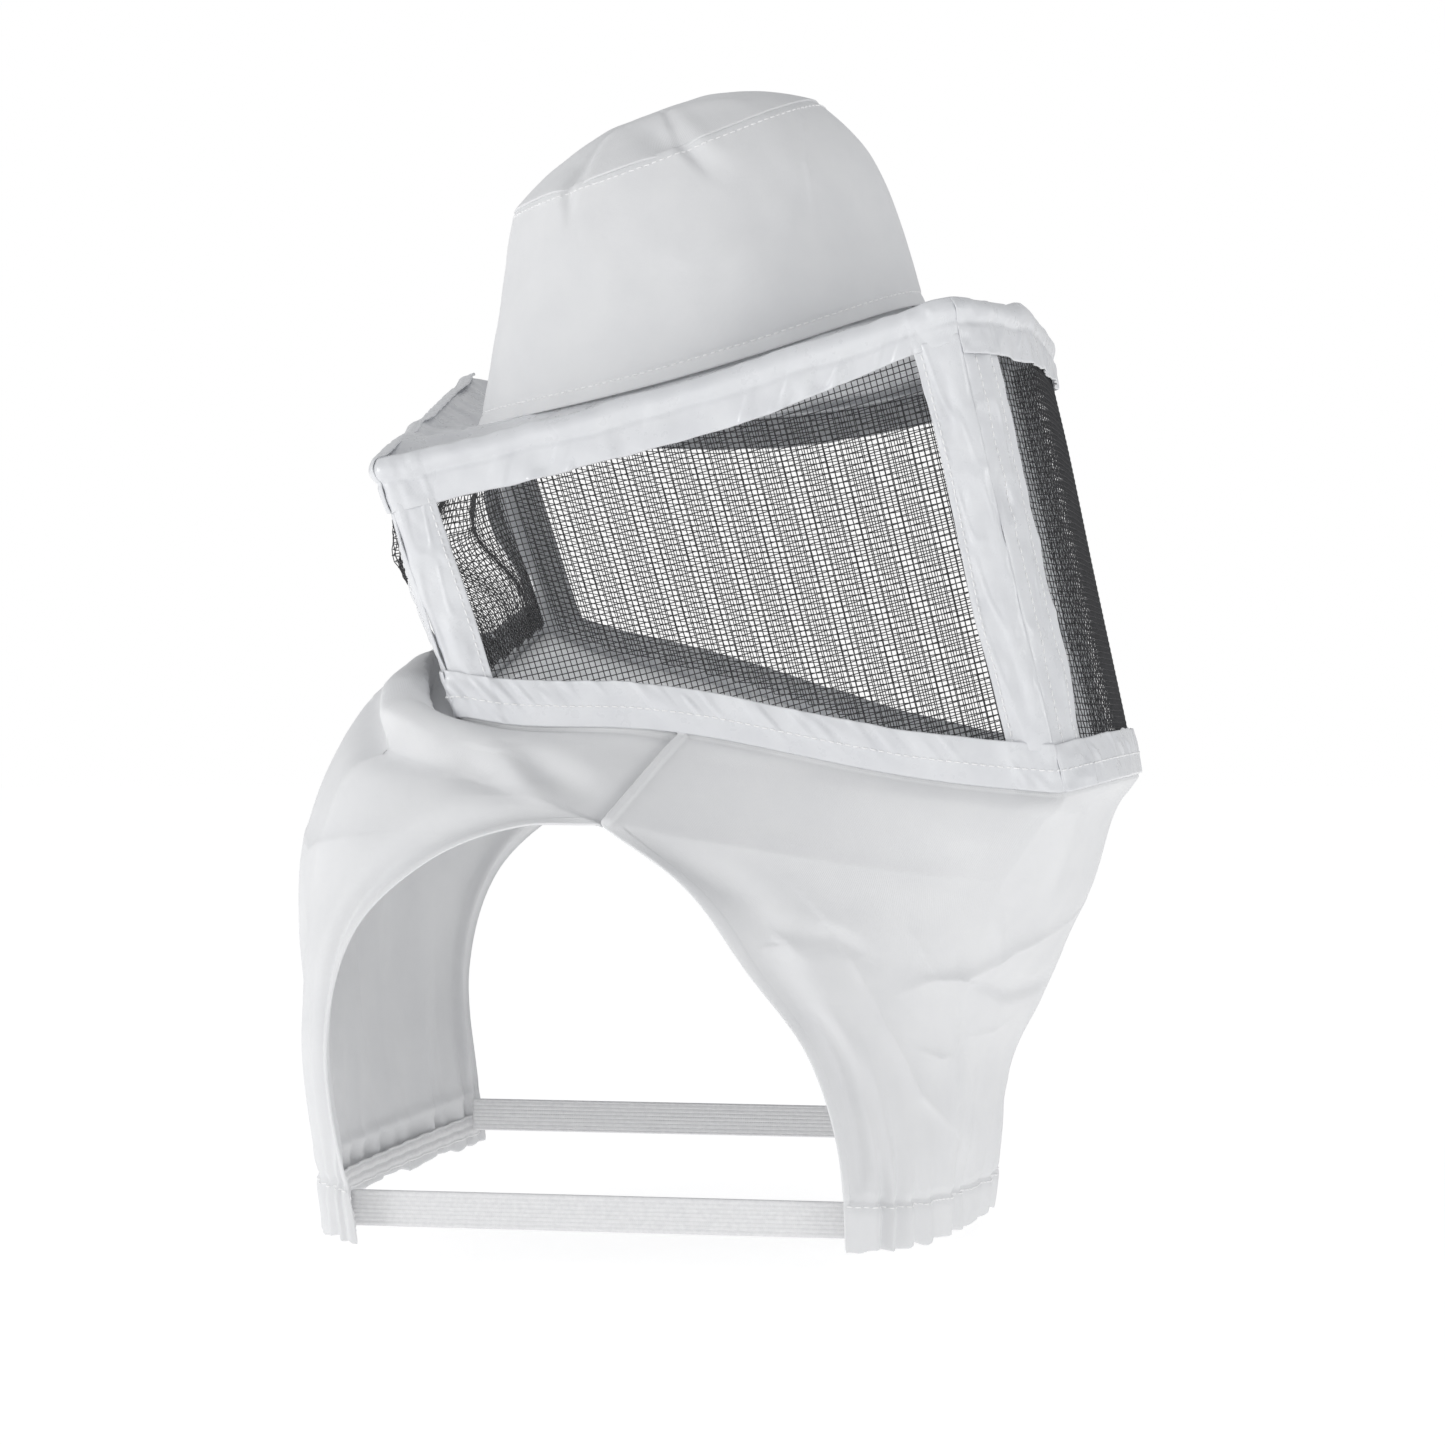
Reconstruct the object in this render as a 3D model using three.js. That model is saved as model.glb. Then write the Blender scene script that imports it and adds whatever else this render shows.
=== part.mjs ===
import * as THREE from 'three';

// A beekeeper's veil hood: a cotton hat crown, a square mesh veil bound with coated tape,
// and a cotton bib whose front and back panels are joined by side elastics.
// Millimetres, +Z up as worn. The wearer faces -Y and their right side is at -X.
// The origin is the centre of the hat's head opening.

// Hat
const TILT = THREE.MathUtils.degToRad(15); // the hat leans back this far as worn
const HEAD_LENGTH = 214;
const HEAD_WIDTH = 176;
const CROWN_FRONT_HEIGHT = 104;
const CROWN_BACK_HEIGHT = 92;
const TIP_FRONT = 84; // reach of the tip seam in front of the origin
const TIP_BACK = 66;
const TIP_WIDTH = 134;
const TIP_RISE = 21; // the tip's dome above its seam
const TIP_SEAM_DIP = 8; // the seam sags this far at the sides
const BASE_DIP = 11; // the crown's base sags this far over the ears
const SWEATBAND_HEIGHT = 32;

// Veil box, hung from the brim
const BRIM_SIDE = 49; // from the crown's base to the veil's side wall
const BRIM_FRONT = 20;
const BRIM_BACK = 27;
const BRIM_DROP = 17; // from the head opening down to the brim's outer edge
const BRIM_SAG = 4; // further drop at the middle of each side
const BACK_HEIGHT = 118; // the veil wall with its tapes, at the back
const FRONT_HEIGHT = 218;
const WALL_LEAN = 8; // the front and back walls lean in by this much at the bottom
const FRONT_BOW_TOP = 28; // how far the front wall bellies out
const FRONT_BOW_BOTTOM = 25;
const FRONT_SAG = 8; // the top edge's further drop at the middle of the front
const BACK_BELLY = 24;
const LIFT_TOP = 60; // the back left corner rides up on the wearer's shoulder
const LIFT_BOTTOM = 40;
const BOTTOM_ARCH = 9; // how far the side walls' lower edge curves up
const ARCH_SKEW = 1.5; // above 1, the arch peaks nearer the back
const TOP_TAPE = 24;
const BOTTOM_TAPE = 21;
const CORNER_TAPE = 20;
const TAPE_LAP = 14; // how far the mesh runs up behind a tape
const WIRE_RADIUS = 1.2;
const WIRE_DROP = 8.2; // from the veil's top edge down to the wire's centre
const WIRE_INSET = 2.8; // from the veil's wall in to the wire's centre
const WIRE_CLEAR = 0.6; // from the wire down to the netting's upper edge

// Bib: offsets from the level seam on the bottom tape, as [outward,] forward, up
const SHOULDER_SEAM_AT = 0.37; // along the side wall, from back to front
const SHOULDER_TIP = [38, -30, -29];
const FRONT_CENTRE = [[-10, -9], [-23, -50], [-44, -101], [-60, -128], [-65, -165], [-70, -198]];
const FRONT_ARMHOLE = [[38, 11, -60], [33, 32, -89], [26, 57, -124], [21, 70, -165], [18, 73, -211]];
const BACK_CENTRE = [[-30, 14], [-55, -3], [-70, -30], [-78, -66], [-80, -128], [-72, -241]];
const BACK_ARMHOLE = [[40, -66, -31], [38, -105, -45], [31, -138, -74], [23, -152, -124], [15, -141, -211]];
const PANEL_SPLIT = 0.47; // share of the bib's drop where its lower panels start to swing
const SPLIT_GAP = 0.06; // share of the drop left free for that swing
const HEM_ELASTIC = 8;
const HEM_SETBACK = 0.045; // share of the drop between the hem's edge and its elastic
const SIDE_ELASTIC = 15;
const ELASTIC_RISE = 11; // from the panel's lower corner up to the elastic's centre
const ELASTIC_TAB = 16; // the end of the elastic that is sewn to the back panel

// Cloth
const COTTON = 1.2;
const TAPE = 1.0;
const MESH = 1.0;
const ELASTIC = 1.2;
const GAP = 0.4; // between pieces that touch

const SIDES = ['right', 'front', 'left', 'back'];
const halfWidth = HEAD_WIDTH / 2 + BRIM_SIDE;
const frontReach = HEAD_LENGTH / 2 + BRIM_FRONT;
const backReach = HEAD_LENGTH / 2 + BRIM_BACK;

const cotton = new THREE.MeshStandardMaterial({ color: 0xe9eaec, roughness: 0.9, metalness: 0 });
const coated = new THREE.MeshStandardMaterial({ color: 0xe4e6e9, roughness: 0.4, metalness: 0 });
const netting = new THREE.MeshStandardMaterial({ color: 0x17171a, roughness: 0.6, metalness: 0 });
const ribbed = new THREE.MeshStandardMaterial({ color: 0xe6e6e6, roughness: 0.8, metalness: 0 });
const wire = new THREE.MeshStandardMaterial({ color: 0xd8dadc, roughness: 0.5, metalness: 0 });

const lerp = THREE.MathUtils.lerp;
const between = (value, low, high) => THREE.MathUtils.clamp((value - low) / (high - low), 0, 1);
const smooth = (t) => THREE.MathUtils.smoothstep(t, 0, 1);
const vec = (x, y, z) => new THREE.Vector3(x, y, z);

// A closed sheet between an outer and an inner surface, each a function of a and b in 0..1.
function sheet(outer, inner, acrossCount, downCount) {
  const points = [];
  const faces = [];
  const rows = downCount + 1;
  for (const surface of [outer, inner]) {
    for (let i = 0; i <= acrossCount; i++) {
      for (let j = 0; j <= downCount; j++) points.push(surface(i / acrossCount, j / downCount));
    }
  }
  const half = points.length / 2;
  const at = (i, j, side) => side * half + i * rows + j;
  const quad = (p, q, r, s) => faces.push(p, q, r, p, r, s);
  for (let i = 0; i < acrossCount; i++) {
    for (let j = 0; j < downCount; j++) {
      quad(at(i, j, 0), at(i + 1, j, 0), at(i + 1, j + 1, 0), at(i, j + 1, 0));
      quad(at(i, j, 1), at(i, j + 1, 1), at(i + 1, j + 1, 1), at(i + 1, j, 1));
    }
    quad(at(i, 0, 0), at(i, 0, 1), at(i + 1, 0, 1), at(i + 1, 0, 0));
    quad(at(i, downCount, 0), at(i + 1, downCount, 0), at(i + 1, downCount, 1), at(i, downCount, 1));
  }
  for (let j = 0; j < downCount; j++) {
    quad(at(0, j, 0), at(0, j + 1, 0), at(0, j + 1, 1), at(0, j, 1));
    quad(at(acrossCount, j, 0), at(acrossCount, j, 1), at(acrossCount, j + 1, 1), at(acrossCount, j + 1, 0));
  }
  return solidOf(points, faces);
}

// A closed ring between an outer and an inner surface: a goes round and meets itself.
function ring(outer, inner, roundCount, downCount) {
  const points = [];
  const faces = [];
  const loop = 2 * (downCount + 1);
  for (let i = 0; i < roundCount; i++) {
    for (let j = 0; j <= downCount; j++) points.push(outer(i / roundCount, j / downCount));
    for (let j = downCount; j >= 0; j--) points.push(inner(i / roundCount, j / downCount));
  }
  for (let i = 0; i < roundCount; i++) {
    const here = i * loop;
    const next = ((i + 1) % roundCount) * loop;
    for (let k = 0; k < loop; k++) {
      const after = (k + 1) % loop;
      faces.push(here + k, next + k, next + after, here + k, next + after, here + after);
    }
  }
  return solidOf(points, faces);
}

// A BufferGeometry whose faces point out.
function solidOf(points, faces) {
  let volume = 0;
  for (let k = 0; k < faces.length; k += 3) {
    const [a, b, c] = [faces[k], faces[k + 1], faces[k + 2]].map((n) => points[n]);
    volume += a.dot(b.clone().cross(c));
  }
  const index = volume > 0 ? faces : faces.toReversed();
  const geometry = new THREE.BufferGeometry();
  geometry.setAttribute('position', new THREE.Float32BufferAttribute(points.flatMap((p) => p.toArray()), 3));
  geometry.setIndex(index);
  geometry.computeVertexNormals();
  return geometry;
}

function add(group, name, geometry, material) {
  const mesh = new THREE.Mesh(geometry, material);
  mesh.name = name;
  group.add(mesh);
}

// ---- Hat crown, in the hat's own frame: the head opening lies in its XY plane ----

// The crown's wall. angle 0 points to the wearer's left, rise is 0 at the base and 1 at the tip seam.
function crownWall(angle, rise, inset) {
  const back = lerp(HEAD_LENGTH / 2, TIP_BACK, rise);
  const front = lerp(HEAD_LENGTH / 2, TIP_FRONT, rise ** 3.2);
  const half = lerp(HEAD_WIDTH / 2, TIP_WIDTH / 2, rise ** 2);
  const across = Math.cos(angle);
  const along = Math.sin(angle);
  const y = (back - front) / 2 + along * ((back + front) / 2 - inset);
  const seam = lerp(CROWN_FRONT_HEIGHT, CROWN_BACK_HEIGHT, (along + 1) / 2) - TIP_SEAM_DIP * across ** 2;
  return vec(across * (half - inset), y, lerp(-BASE_DIP * across ** 2, seam, rise));
}

function addCrown(hat) {
  const seamHalf = GAP / HEAD_LENGTH * 2;
  for (const [name, start] of [['crown_side_left', -Math.PI / 2], ['crown_side_right', Math.PI / 2]]) {
    const angle = (a) => start + lerp(seamHalf, Math.PI - seamHalf, a);
    const wall = (inset) => (a, b) => crownWall(angle(a), b, inset);
    add(hat, name, sheet(wall(0), wall(COTTON), 20, 6), cotton);
  }
  const rimInset = COTTON + GAP;
  const dome = (drop) => (a, b) => {
    const rim = crownWall(a * 2 * Math.PI, 1, rimInset);
    const centre = vec(0, (TIP_BACK - TIP_FRONT) / 2, (CROWN_FRONT_HEIGHT + CROWN_BACK_HEIGHT) / 2);
    const point = centre.clone().lerp(rim, lerp(0.04, 1, b));
    point.z += TIP_RISE * (1 - lerp(0.04, 1, b) ** 2) - drop;
    return point;
  };
  add(hat, 'crown_tip', closedDome(dome(0), dome(COTTON), 28, 6), cotton);

  const bandRise = (b) => lerp(0.03, 0.03 + SWEATBAND_HEIGHT / CROWN_BACK_HEIGHT, b);
  const band = (inset) => (a, b) => crownWall(a * 2 * Math.PI, bandRise(b), inset);
  const bandInset = COTTON + 2 * GAP;
  add(hat, 'sweatband', ring(band(bandInset), band(bandInset + COTTON), 32, 2), cotton);
}

// A dome: two surfaces that meet at the rim, each closed at its top by a fan.
function closedDome(outer, inner, roundCount, downCount) {
  const points = [];
  const faces = [];
  for (const surface of [outer, inner]) {
    for (let i = 0; i < roundCount; i++) {
      for (let j = 0; j <= downCount; j++) points.push(surface(i / roundCount, j / downCount));
    }
  }
  const rows = downCount + 1;
  const half = points.length / 2;
  const at = (i, j, side) => side * half + (i % roundCount) * rows + j;
  const tops = [0, 1].map((side) => {
    const middle = vec(0, 0, 0);
    for (let i = 0; i < roundCount; i++) middle.add(points[at(i, 0, side)]);
    return points.push(middle.divideScalar(roundCount)) - 1;
  });
  const quad = (p, q, r, s) => faces.push(p, q, r, p, r, s);
  for (let i = 0; i < roundCount; i++) {
    for (let j = 0; j < downCount; j++) {
      quad(at(i, j, 0), at(i, j + 1, 0), at(i + 1, j + 1, 0), at(i + 1, j, 0));
      quad(at(i, j, 1), at(i + 1, j, 1), at(i + 1, j + 1, 1), at(i, j + 1, 1));
    }
    quad(at(i, downCount, 0), at(i, downCount, 1), at(i + 1, downCount, 1), at(i + 1, downCount, 0));
    faces.push(tops[0], at(i, 0, 0), at(i + 1, 0, 0));
    faces.push(tops[1], at(i + 1, 0, 1), at(i, 0, 1));
  }
  return solidOf(points, faces);
}

// ---- Veil box, in the hat's frame ----

// How far the arch lifts a side wall's lower edge between its corner tapes.
// along is 0 at the front and 1 at the back.
function archRise(along) {
  const end = CORNER_TAPE / (frontReach + backReach);
  return BOTTOM_ARCH * Math.sin(Math.PI * between(along, end, 1 - end) ** ARCH_SKEW) ** 1.5;
}

// A point on the veil's wall. q runs along the side, v from its top edge to its bottom edge,
// and out moves the point off the wall. drop is a further distance down, in millimetres.
function wall(side, q, v, out = 0, drop = 0) {
  const front = -frontReach + WALL_LEAN * v;
  const back = backReach - WALL_LEAN * v;
  let x;
  let y;
  let top = -BRIM_DROP;
  if (side === 'right' || side === 'left') {
    const sign = side === 'left' ? 1 : -1;
    x = sign * (halfWidth + out);
    y = lerp(back, front, q);
    top -= BRIM_SAG * Math.sin(Math.PI * q);
  } else {
    const across = 2 * q - 1;
    const belly = 1 - Math.abs(across) ** 4;
    x = across * halfWidth;
    if (side === 'front') top -= FRONT_SAG * (1 - v) * belly;
    y = side === 'front'
      ? front - out - lerp(FRONT_BOW_TOP, FRONT_BOW_BOTTOM, v) * belly
      : back + out + BACK_BELLY * Math.sin(Math.PI * between(v, 0.21, 0.82)) ** 2 * belly;
  }
  const along = between(y, front, back);
  const height = lerp(FRONT_HEIGHT, BACK_HEIGHT, along) - archRise(along);
  const lift = lerp(LIFT_TOP, LIFT_BOTTOM, v) * ((x + halfWidth) / (2 * halfWidth)) * along ** 2;
  return vec(x, y, top - height * v + lift - drop);
}

const sideLength = (side) => (side === 'right' || side === 'left' ? frontReach + backReach : 2 * halfWidth);

// The wall's height at a place along a side, with the stretch that the lift gives it.
const wallHeight = (side, q) => wall(side, q, 0).z - wall(side, q, 1).z;

// A strip of the wall between two distances from its top or bottom edge.
function strip(side, from, to, outward, thickness, edges, acrossCount, downCount) {
  const length = sideLength(side);
  const surface = (out) => (a, b) => {
    const q = lerp(from, length - to, a) / length;
    const height = wallHeight(side, q);
    const v = lerp(edges(height)[0], edges(height)[1], b) / height;
    return wall(side, q, v, out);
  };
  return sheet(surface(outward + thickness), surface(outward), acrossCount, downCount);
}

function addVeil(hat) {
  const tapeOut = GAP;
  for (const side of SIDES) {
    const bowed = side === 'front' || side === 'back';
    const count = bowed ? 24 : 10;
    add(hat, `top_tape_${side}`, strip(side, 0, 0, tapeOut, TAPE, () => [0, TOP_TAPE], count, 1), coated);
    const lower = (height) => [height - BOTTOM_TAPE, height];
    add(hat, `bottom_tape_${side}`, strip(side, 0, 0, tapeOut, TAPE, lower, count, 1), coated);
    const margin = CORNER_TAPE - TAPE_LAP;
    const netTop = Math.max(TOP_TAPE - TAPE_LAP, WIRE_DROP + WIRE_RADIUS + WIRE_CLEAR);
    const lapped = (height) => [netTop, height - BOTTOM_TAPE + TAPE_LAP];
    add(hat, `mesh_${side}`, strip(side, margin, margin, -MESH - 2 * GAP, MESH, lapped, count, 10), netting);

    const open = (height) => [TOP_TAPE + GAP, height - BOTTOM_TAPE - GAP];
    const length = sideLength(side);
    const [start, end] = bowed ? ['right', 'left'] : ['back', 'front'];
    const rest = length - CORNER_TAPE;
    const corner = (from, to) => strip(side, from, to, tapeOut, TAPE, open, 3, 10);
    add(hat, `corner_tape_${side}_by_${start}`, corner(0, rest), coated);
    add(hat, `corner_tape_${side}_by_${end}`, corner(rest, 0), coated);
  }
  addBrim(hat);
  addBrimWire(hat);
}

// The veil's outline at its top edge, once round. a is 0 at the middle of the back.
function brimEdge(a, out, drop) {
  const turn = (a * 4 + 3.5) % 4;
  const side = SIDES[Math.floor(turn)];
  const q = turn % 1;
  const runsBackwards = side === 'left' || side === 'back';
  const point = wall(side, runsBackwards ? 1 - q : q, 0, out, drop);
  if (side === 'front' || side === 'back') point.x *= 1 + out / halfWidth;
  else point.y = lerp(backReach + out, -frontReach - out, (backReach - point.y) / (backReach + frontReach));
  return point;
}

function addBrim(hat) {
  const surface = (drop) => (a, b) => {
    const rim = brimEdge(a, 0, drop);
    const angle = Math.atan2(rim.y / HEAD_LENGTH, rim.x / HEAD_WIDTH);
    const root = crownWall(angle, 0, -GAP);
    root.z -= drop;
    return root.lerp(rim, b);
  };
  add(hat, 'brim', ring(surface(0), surface(COTTON), 64, 4), coated);
}

function addBrimWire(hat) {
  const points = [];
  const openShare = 0.004; // the hoop's two ends stop just short of each other
  for (let i = 0; i <= 60; i++) points.push(brimEdge(lerp(openShare, 1 - openShare, i / 60), -WIRE_INSET, WIRE_DROP));
  const path = new THREE.CatmullRomCurve3(points);
  const section = new THREE.Shape().absarc(0, 0, WIRE_RADIUS, 0, 2 * Math.PI);
  const options = { steps: 120, curveSegments: 3, bevelEnabled: false, extrudePath: path };
  add(hat, 'brim_wire', new THREE.ExtrudeGeometry(section, options), wire);
}

// ---- Bib, in the worn frame ----

// A hat point in the worn frame.
const worn = (point) => point.clone().applyAxisAngle(vec(1, 0, 0), -TILT);

// The seam on the bottom tape, from the middle of the front or back (s = 0)
// round the corner to the shoulder seam (s = 1). sign is -1 on the wearer's right.
// A level seam leaves out the arch, for what hangs clear of it.
function tapeSeam(panel, s, sign, level = false) {
  const side = sign < 0 ? 'right' : 'left';
  const sideShare = panel === 'front' ? 1 - SHOULDER_SEAM_AT : SHOULDER_SEAM_AT;
  const sideRun = sideShare * sideLength(side);
  const run = s * (halfWidth + sideRun);
  const clear = 2 * GAP + COTTON;
  if (run < halfWidth) return worn(wall(panel, 0.5 + sign * run / (2 * halfWidth), 1, TAPE / 2, clear));
  const along = (run - halfWidth) / sideLength(side);
  const q = panel === 'front' ? 1 - along : along;
  return worn(wall(side, q, 1, TAPE / 2, clear + (level ? archRise(1 - q) : 0)));
}

// The bib's centre line, from the seam to the hem.
function centreLine(panel) {
  const start = tapeSeam(panel, 0, -1);
  const offsets = panel === 'front' ? FRONT_CENTRE : BACK_CENTRE;
  const points = offsets.map(([forward, up]) => start.clone().add(vec(0, -forward, up)));
  return new THREE.CatmullRomCurve3([start, ...points]);
}

// The bib's side edge: the shoulder seam, then the armhole down to the hem.
function sideEdge(panel, sign) {
  const start = tapeSeam(panel, 1, sign);
  const level = tapeSeam(panel, 1, sign, true);
  const place = ([out, forward, up]) => level.clone().add(vec(sign * out, -forward, up));
  const tip = place(SHOULDER_TIP);
  const armhole = (panel === 'front' ? FRONT_ARMHOLE : BACK_ARMHOLE).map(place);
  const curve = new THREE.CatmullRomCurve3([tip, ...armhole]);
  const seamLength = start.distanceTo(tip);
  const seamShare = seamLength / (seamLength + curve.getLength());
  return (v) => (v < seamShare
    ? start.clone().lerp(tip, v / seamShare)
    : curve.getPointAt((v - seamShare) / (1 - seamShare)));
}

// The bib's surface. across is -1 at the right edge and 1 at the left edge,
// v is 0 at the seam on the tape and 1 at the hem.
function bibSurface(panel) {
  const centre = centreLine(panel);
  const edges = { '-1': sideEdge(panel, -1), 1: sideEdge(panel, 1) };
  return (across, v) => {
    const sign = across < 0 ? -1 : 1;
    const s = Math.abs(across);
    const middle = centre.getPointAt(v);
    const edge = edges[sign](v);
    const hung = tapeSeam(panel, s, sign)
      .addScaledVector(middle.clone().sub(tapeSeam(panel, 0, sign)), 1 - s ** 2)
      .addScaledVector(edge.clone().sub(tapeSeam(panel, 1, sign)), s ** 2);
    const turn = s * Math.PI / 2;
    const wrapped = vec(
      lerp(middle.x, edge.x, Math.sin(turn)),
      lerp(edge.y, middle.y, Math.cos(turn)),
      lerp(edge.z, middle.z, Math.cos(turn)),
    );
    return hung.lerp(wrapped, smooth(v / 0.6));
  };
}

// The same surface moved off along its outward normal.
function bibOffset(surface, distance) {
  const step = 0.01;
  return (across, v) => {
    const point = surface(across, v);
    const [left, right] = [Math.max(across - step, -1), Math.min(across + step, 1)];
    const [above, below] = [Math.max(v - step, 0), Math.min(v + step, 1)];
    const sideways = surface(right, v).sub(surface(left, v));
    const down = surface(across, below).sub(surface(across, above));
    const normal = sideways.cross(down).normalize();
    if (normal.dot(vec(point.x, point.y, 0)) < 0) normal.negate();
    return point.addScaledVector(normal, distance);
  };
}

const EDGE_CLEAR = 0.004; // share of the panel's half width kept clear at its side edges

function bibPiece(surface, from, to, inner, thickness, reach, acrossCount, downCount) {
  const face = (distance) => {
    const offset = bibOffset(surface, distance);
    return (a, b) => offset(lerp(-reach, reach, a), lerp(from, to, b));
  };
  return sheet(face(inner + thickness), face(inner), acrossCount, downCount);
}

function addBib(suit) {
  const reach = 1 - EDGE_CLEAR;
  for (const panel of ['front', 'back']) {
    const surface = bibSurface(panel);
    const top = bibPiece(surface, 0, PANEL_SPLIT - SPLIT_GAP / 2, 0, COTTON, reach, 32, 8);
    add(suit, `bib_${panel}`, top, cotton);
    const lower = bibPiece(surface, PANEL_SPLIT + SPLIT_GAP / 2, 1, 0, COTTON, reach, 32, 8);
    add(suit, `${panel}_panel`, lower, cotton);
    const hemTop = 1 - HEM_SETBACK;
    const behind = -GAP - ELASTIC;
    const elastic = bibPiece(surface, hemTop, hemTop + HEM_ELASTIC / 250, behind, ELASTIC, reach * 0.96, 32, 1);
    add(suit, `hem_elastic_${panel}`, elastic, ribbed);
  }
  addSideElastics(suit);
}

// A flat elastic between the lower corners of the front and back panels, behind both.
function addSideElastics(suit) {
  const clear = COTTON + ELASTIC + GAP;
  for (const [name, sign] of [['right', -1], ['left', 1]]) {
    const start = bibSurface('front')(sign * 0.96, 1 - ELASTIC_RISE / 250);
    const end = bibSurface('back')(sign * 0.96, 1 - ELASTIC_RISE / 250);
    const inward = vec(-sign * clear * 3, 0, 0);
    start.add(inward);
    end.add(inward);
    const along = end.clone().sub(start);
    const tabShare = 1 - ELASTIC_TAB / along.length();
    const ribbon = (from, to) => {
      const face = (x) => (a, b) => start.clone().addScaledVector(along, lerp(from, to, a))
        .add(vec(x, 0, SIDE_ELASTIC * (0.5 - b)));
      return sheet(face(ELASTIC / 2), face(-ELASTIC / 2), 6, 1);
    };
    add(suit, `side_elastic_${name}`, ribbon(0, tabShare - GAP / along.length()), ribbed);
    add(suit, `elastic_tab_${name}`, ribbon(tabShare, 1), ribbed);
  }
}

const suit = new THREE.Group();
const hat = new THREE.Group();
hat.rotation.x = -TILT;
suit.add(hat);
addCrown(hat);
addVeil(hat);
addBib(suit);

export default suit;
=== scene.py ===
"""The looks of a beekeeper's veil hood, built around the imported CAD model.

Sizes are in millimetres until a mesh is made, in metres. The hood is worn: +Z is up, the wearer
faces -Y and their right side is at -X. The hat's own frame is tilted back from the worn frame.
"""

import math

import bpy
import numpy as np
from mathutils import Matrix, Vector


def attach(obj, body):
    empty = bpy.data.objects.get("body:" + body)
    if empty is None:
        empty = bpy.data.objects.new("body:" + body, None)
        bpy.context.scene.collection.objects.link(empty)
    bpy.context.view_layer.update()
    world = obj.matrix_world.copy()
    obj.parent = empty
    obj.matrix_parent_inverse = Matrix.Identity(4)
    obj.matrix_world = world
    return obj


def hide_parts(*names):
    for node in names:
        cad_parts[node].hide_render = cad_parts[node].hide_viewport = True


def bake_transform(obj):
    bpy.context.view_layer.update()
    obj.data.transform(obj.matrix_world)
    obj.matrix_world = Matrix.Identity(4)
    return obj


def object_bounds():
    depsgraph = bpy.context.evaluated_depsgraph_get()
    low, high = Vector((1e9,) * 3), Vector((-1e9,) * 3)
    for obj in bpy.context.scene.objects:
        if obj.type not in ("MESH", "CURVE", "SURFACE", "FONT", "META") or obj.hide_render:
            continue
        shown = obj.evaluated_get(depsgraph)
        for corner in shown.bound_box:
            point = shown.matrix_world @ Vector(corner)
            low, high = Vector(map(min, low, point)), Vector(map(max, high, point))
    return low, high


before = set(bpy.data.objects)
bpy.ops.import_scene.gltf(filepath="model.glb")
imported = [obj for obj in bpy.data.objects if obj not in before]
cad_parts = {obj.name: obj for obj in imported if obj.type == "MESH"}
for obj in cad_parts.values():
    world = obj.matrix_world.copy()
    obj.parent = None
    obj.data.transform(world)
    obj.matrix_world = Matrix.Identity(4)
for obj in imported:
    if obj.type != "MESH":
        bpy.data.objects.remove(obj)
cad_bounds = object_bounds()

MM = 0.001

# Sizes in millimetres, the same as in the CAD model.
TILT = math.radians(15)
HEAD_LENGTH, HEAD_WIDTH = 214, 176
CROWN_FRONT_HEIGHT, CROWN_BACK_HEIGHT = 104, 92
TIP_FRONT, TIP_BACK, TIP_WIDTH = 84, 66, 134
TIP_RISE, TIP_SEAM_DIP, BASE_DIP = 21, 8, 11
BRIM_SIDE, BRIM_FRONT, BRIM_BACK = 49, 20, 27
BRIM_DROP, BRIM_SAG = 17, 4
BACK_HEIGHT, FRONT_HEIGHT, WALL_LEAN = 118, 218, 8
FRONT_BOW_TOP, FRONT_BOW_BOTTOM, FRONT_SAG, BACK_BELLY = 28, 25, 8, 24
LIFT_TOP, LIFT_BOTTOM = 60, 40
BOTTOM_ARCH, ARCH_SKEW = 9, 1.5
TOP_TAPE, BOTTOM_TAPE, CORNER_TAPE, TAPE_LAP = 24, 21, 20, 14
SHOULDER_SEAM_AT = 0.37
SHOULDER_TIP = (38, -30, -29)
CENTRE = {
    "front": [(-10, -9), (-23, -50), (-44, -101), (-60, -128), (-65, -165), (-70, -198)],
    "back": [(-30, 14), (-55, -3), (-70, -30), (-78, -66), (-80, -128), (-72, -241)],
}
ARMHOLE = {
    "front": [(38, 11, -60), (33, 32, -89), (26, 57, -124), (21, 70, -165), (18, 73, -211)],
    "back": [(40, -66, -31), (38, -105, -45), (31, -138, -74), (23, -152, -124), (15, -141, -211)],
}
COTTON, TAPE, GAP = 1.2, 1.0, 0.4

HALF_WIDTH = HEAD_WIDTH / 2 + BRIM_SIDE
FRONT_REACH = HEAD_LENGTH / 2 + BRIM_FRONT
BACK_REACH = HEAD_LENGTH / 2 + BRIM_BACK


def lerp(a, b, t):
    return a + (b - a) * t


def between(value, low, high):
    return np.clip((value - low) / (high - low), 0, 1)


def smooth(t):
    t = np.clip(t, 0, 1)
    return t * t * (3 - 2 * t)


def points(x, y, z):
    return np.stack(np.broadcast_arrays(x, y, z), axis=-1).astype(float)


def worn(p):
    """Points of the hat's frame in the worn frame."""
    c, s = math.cos(TILT), math.sin(TILT)
    return points(p[..., 0], p[..., 1] * c + p[..., 2] * s, p[..., 2] * c - p[..., 1] * s)


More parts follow.
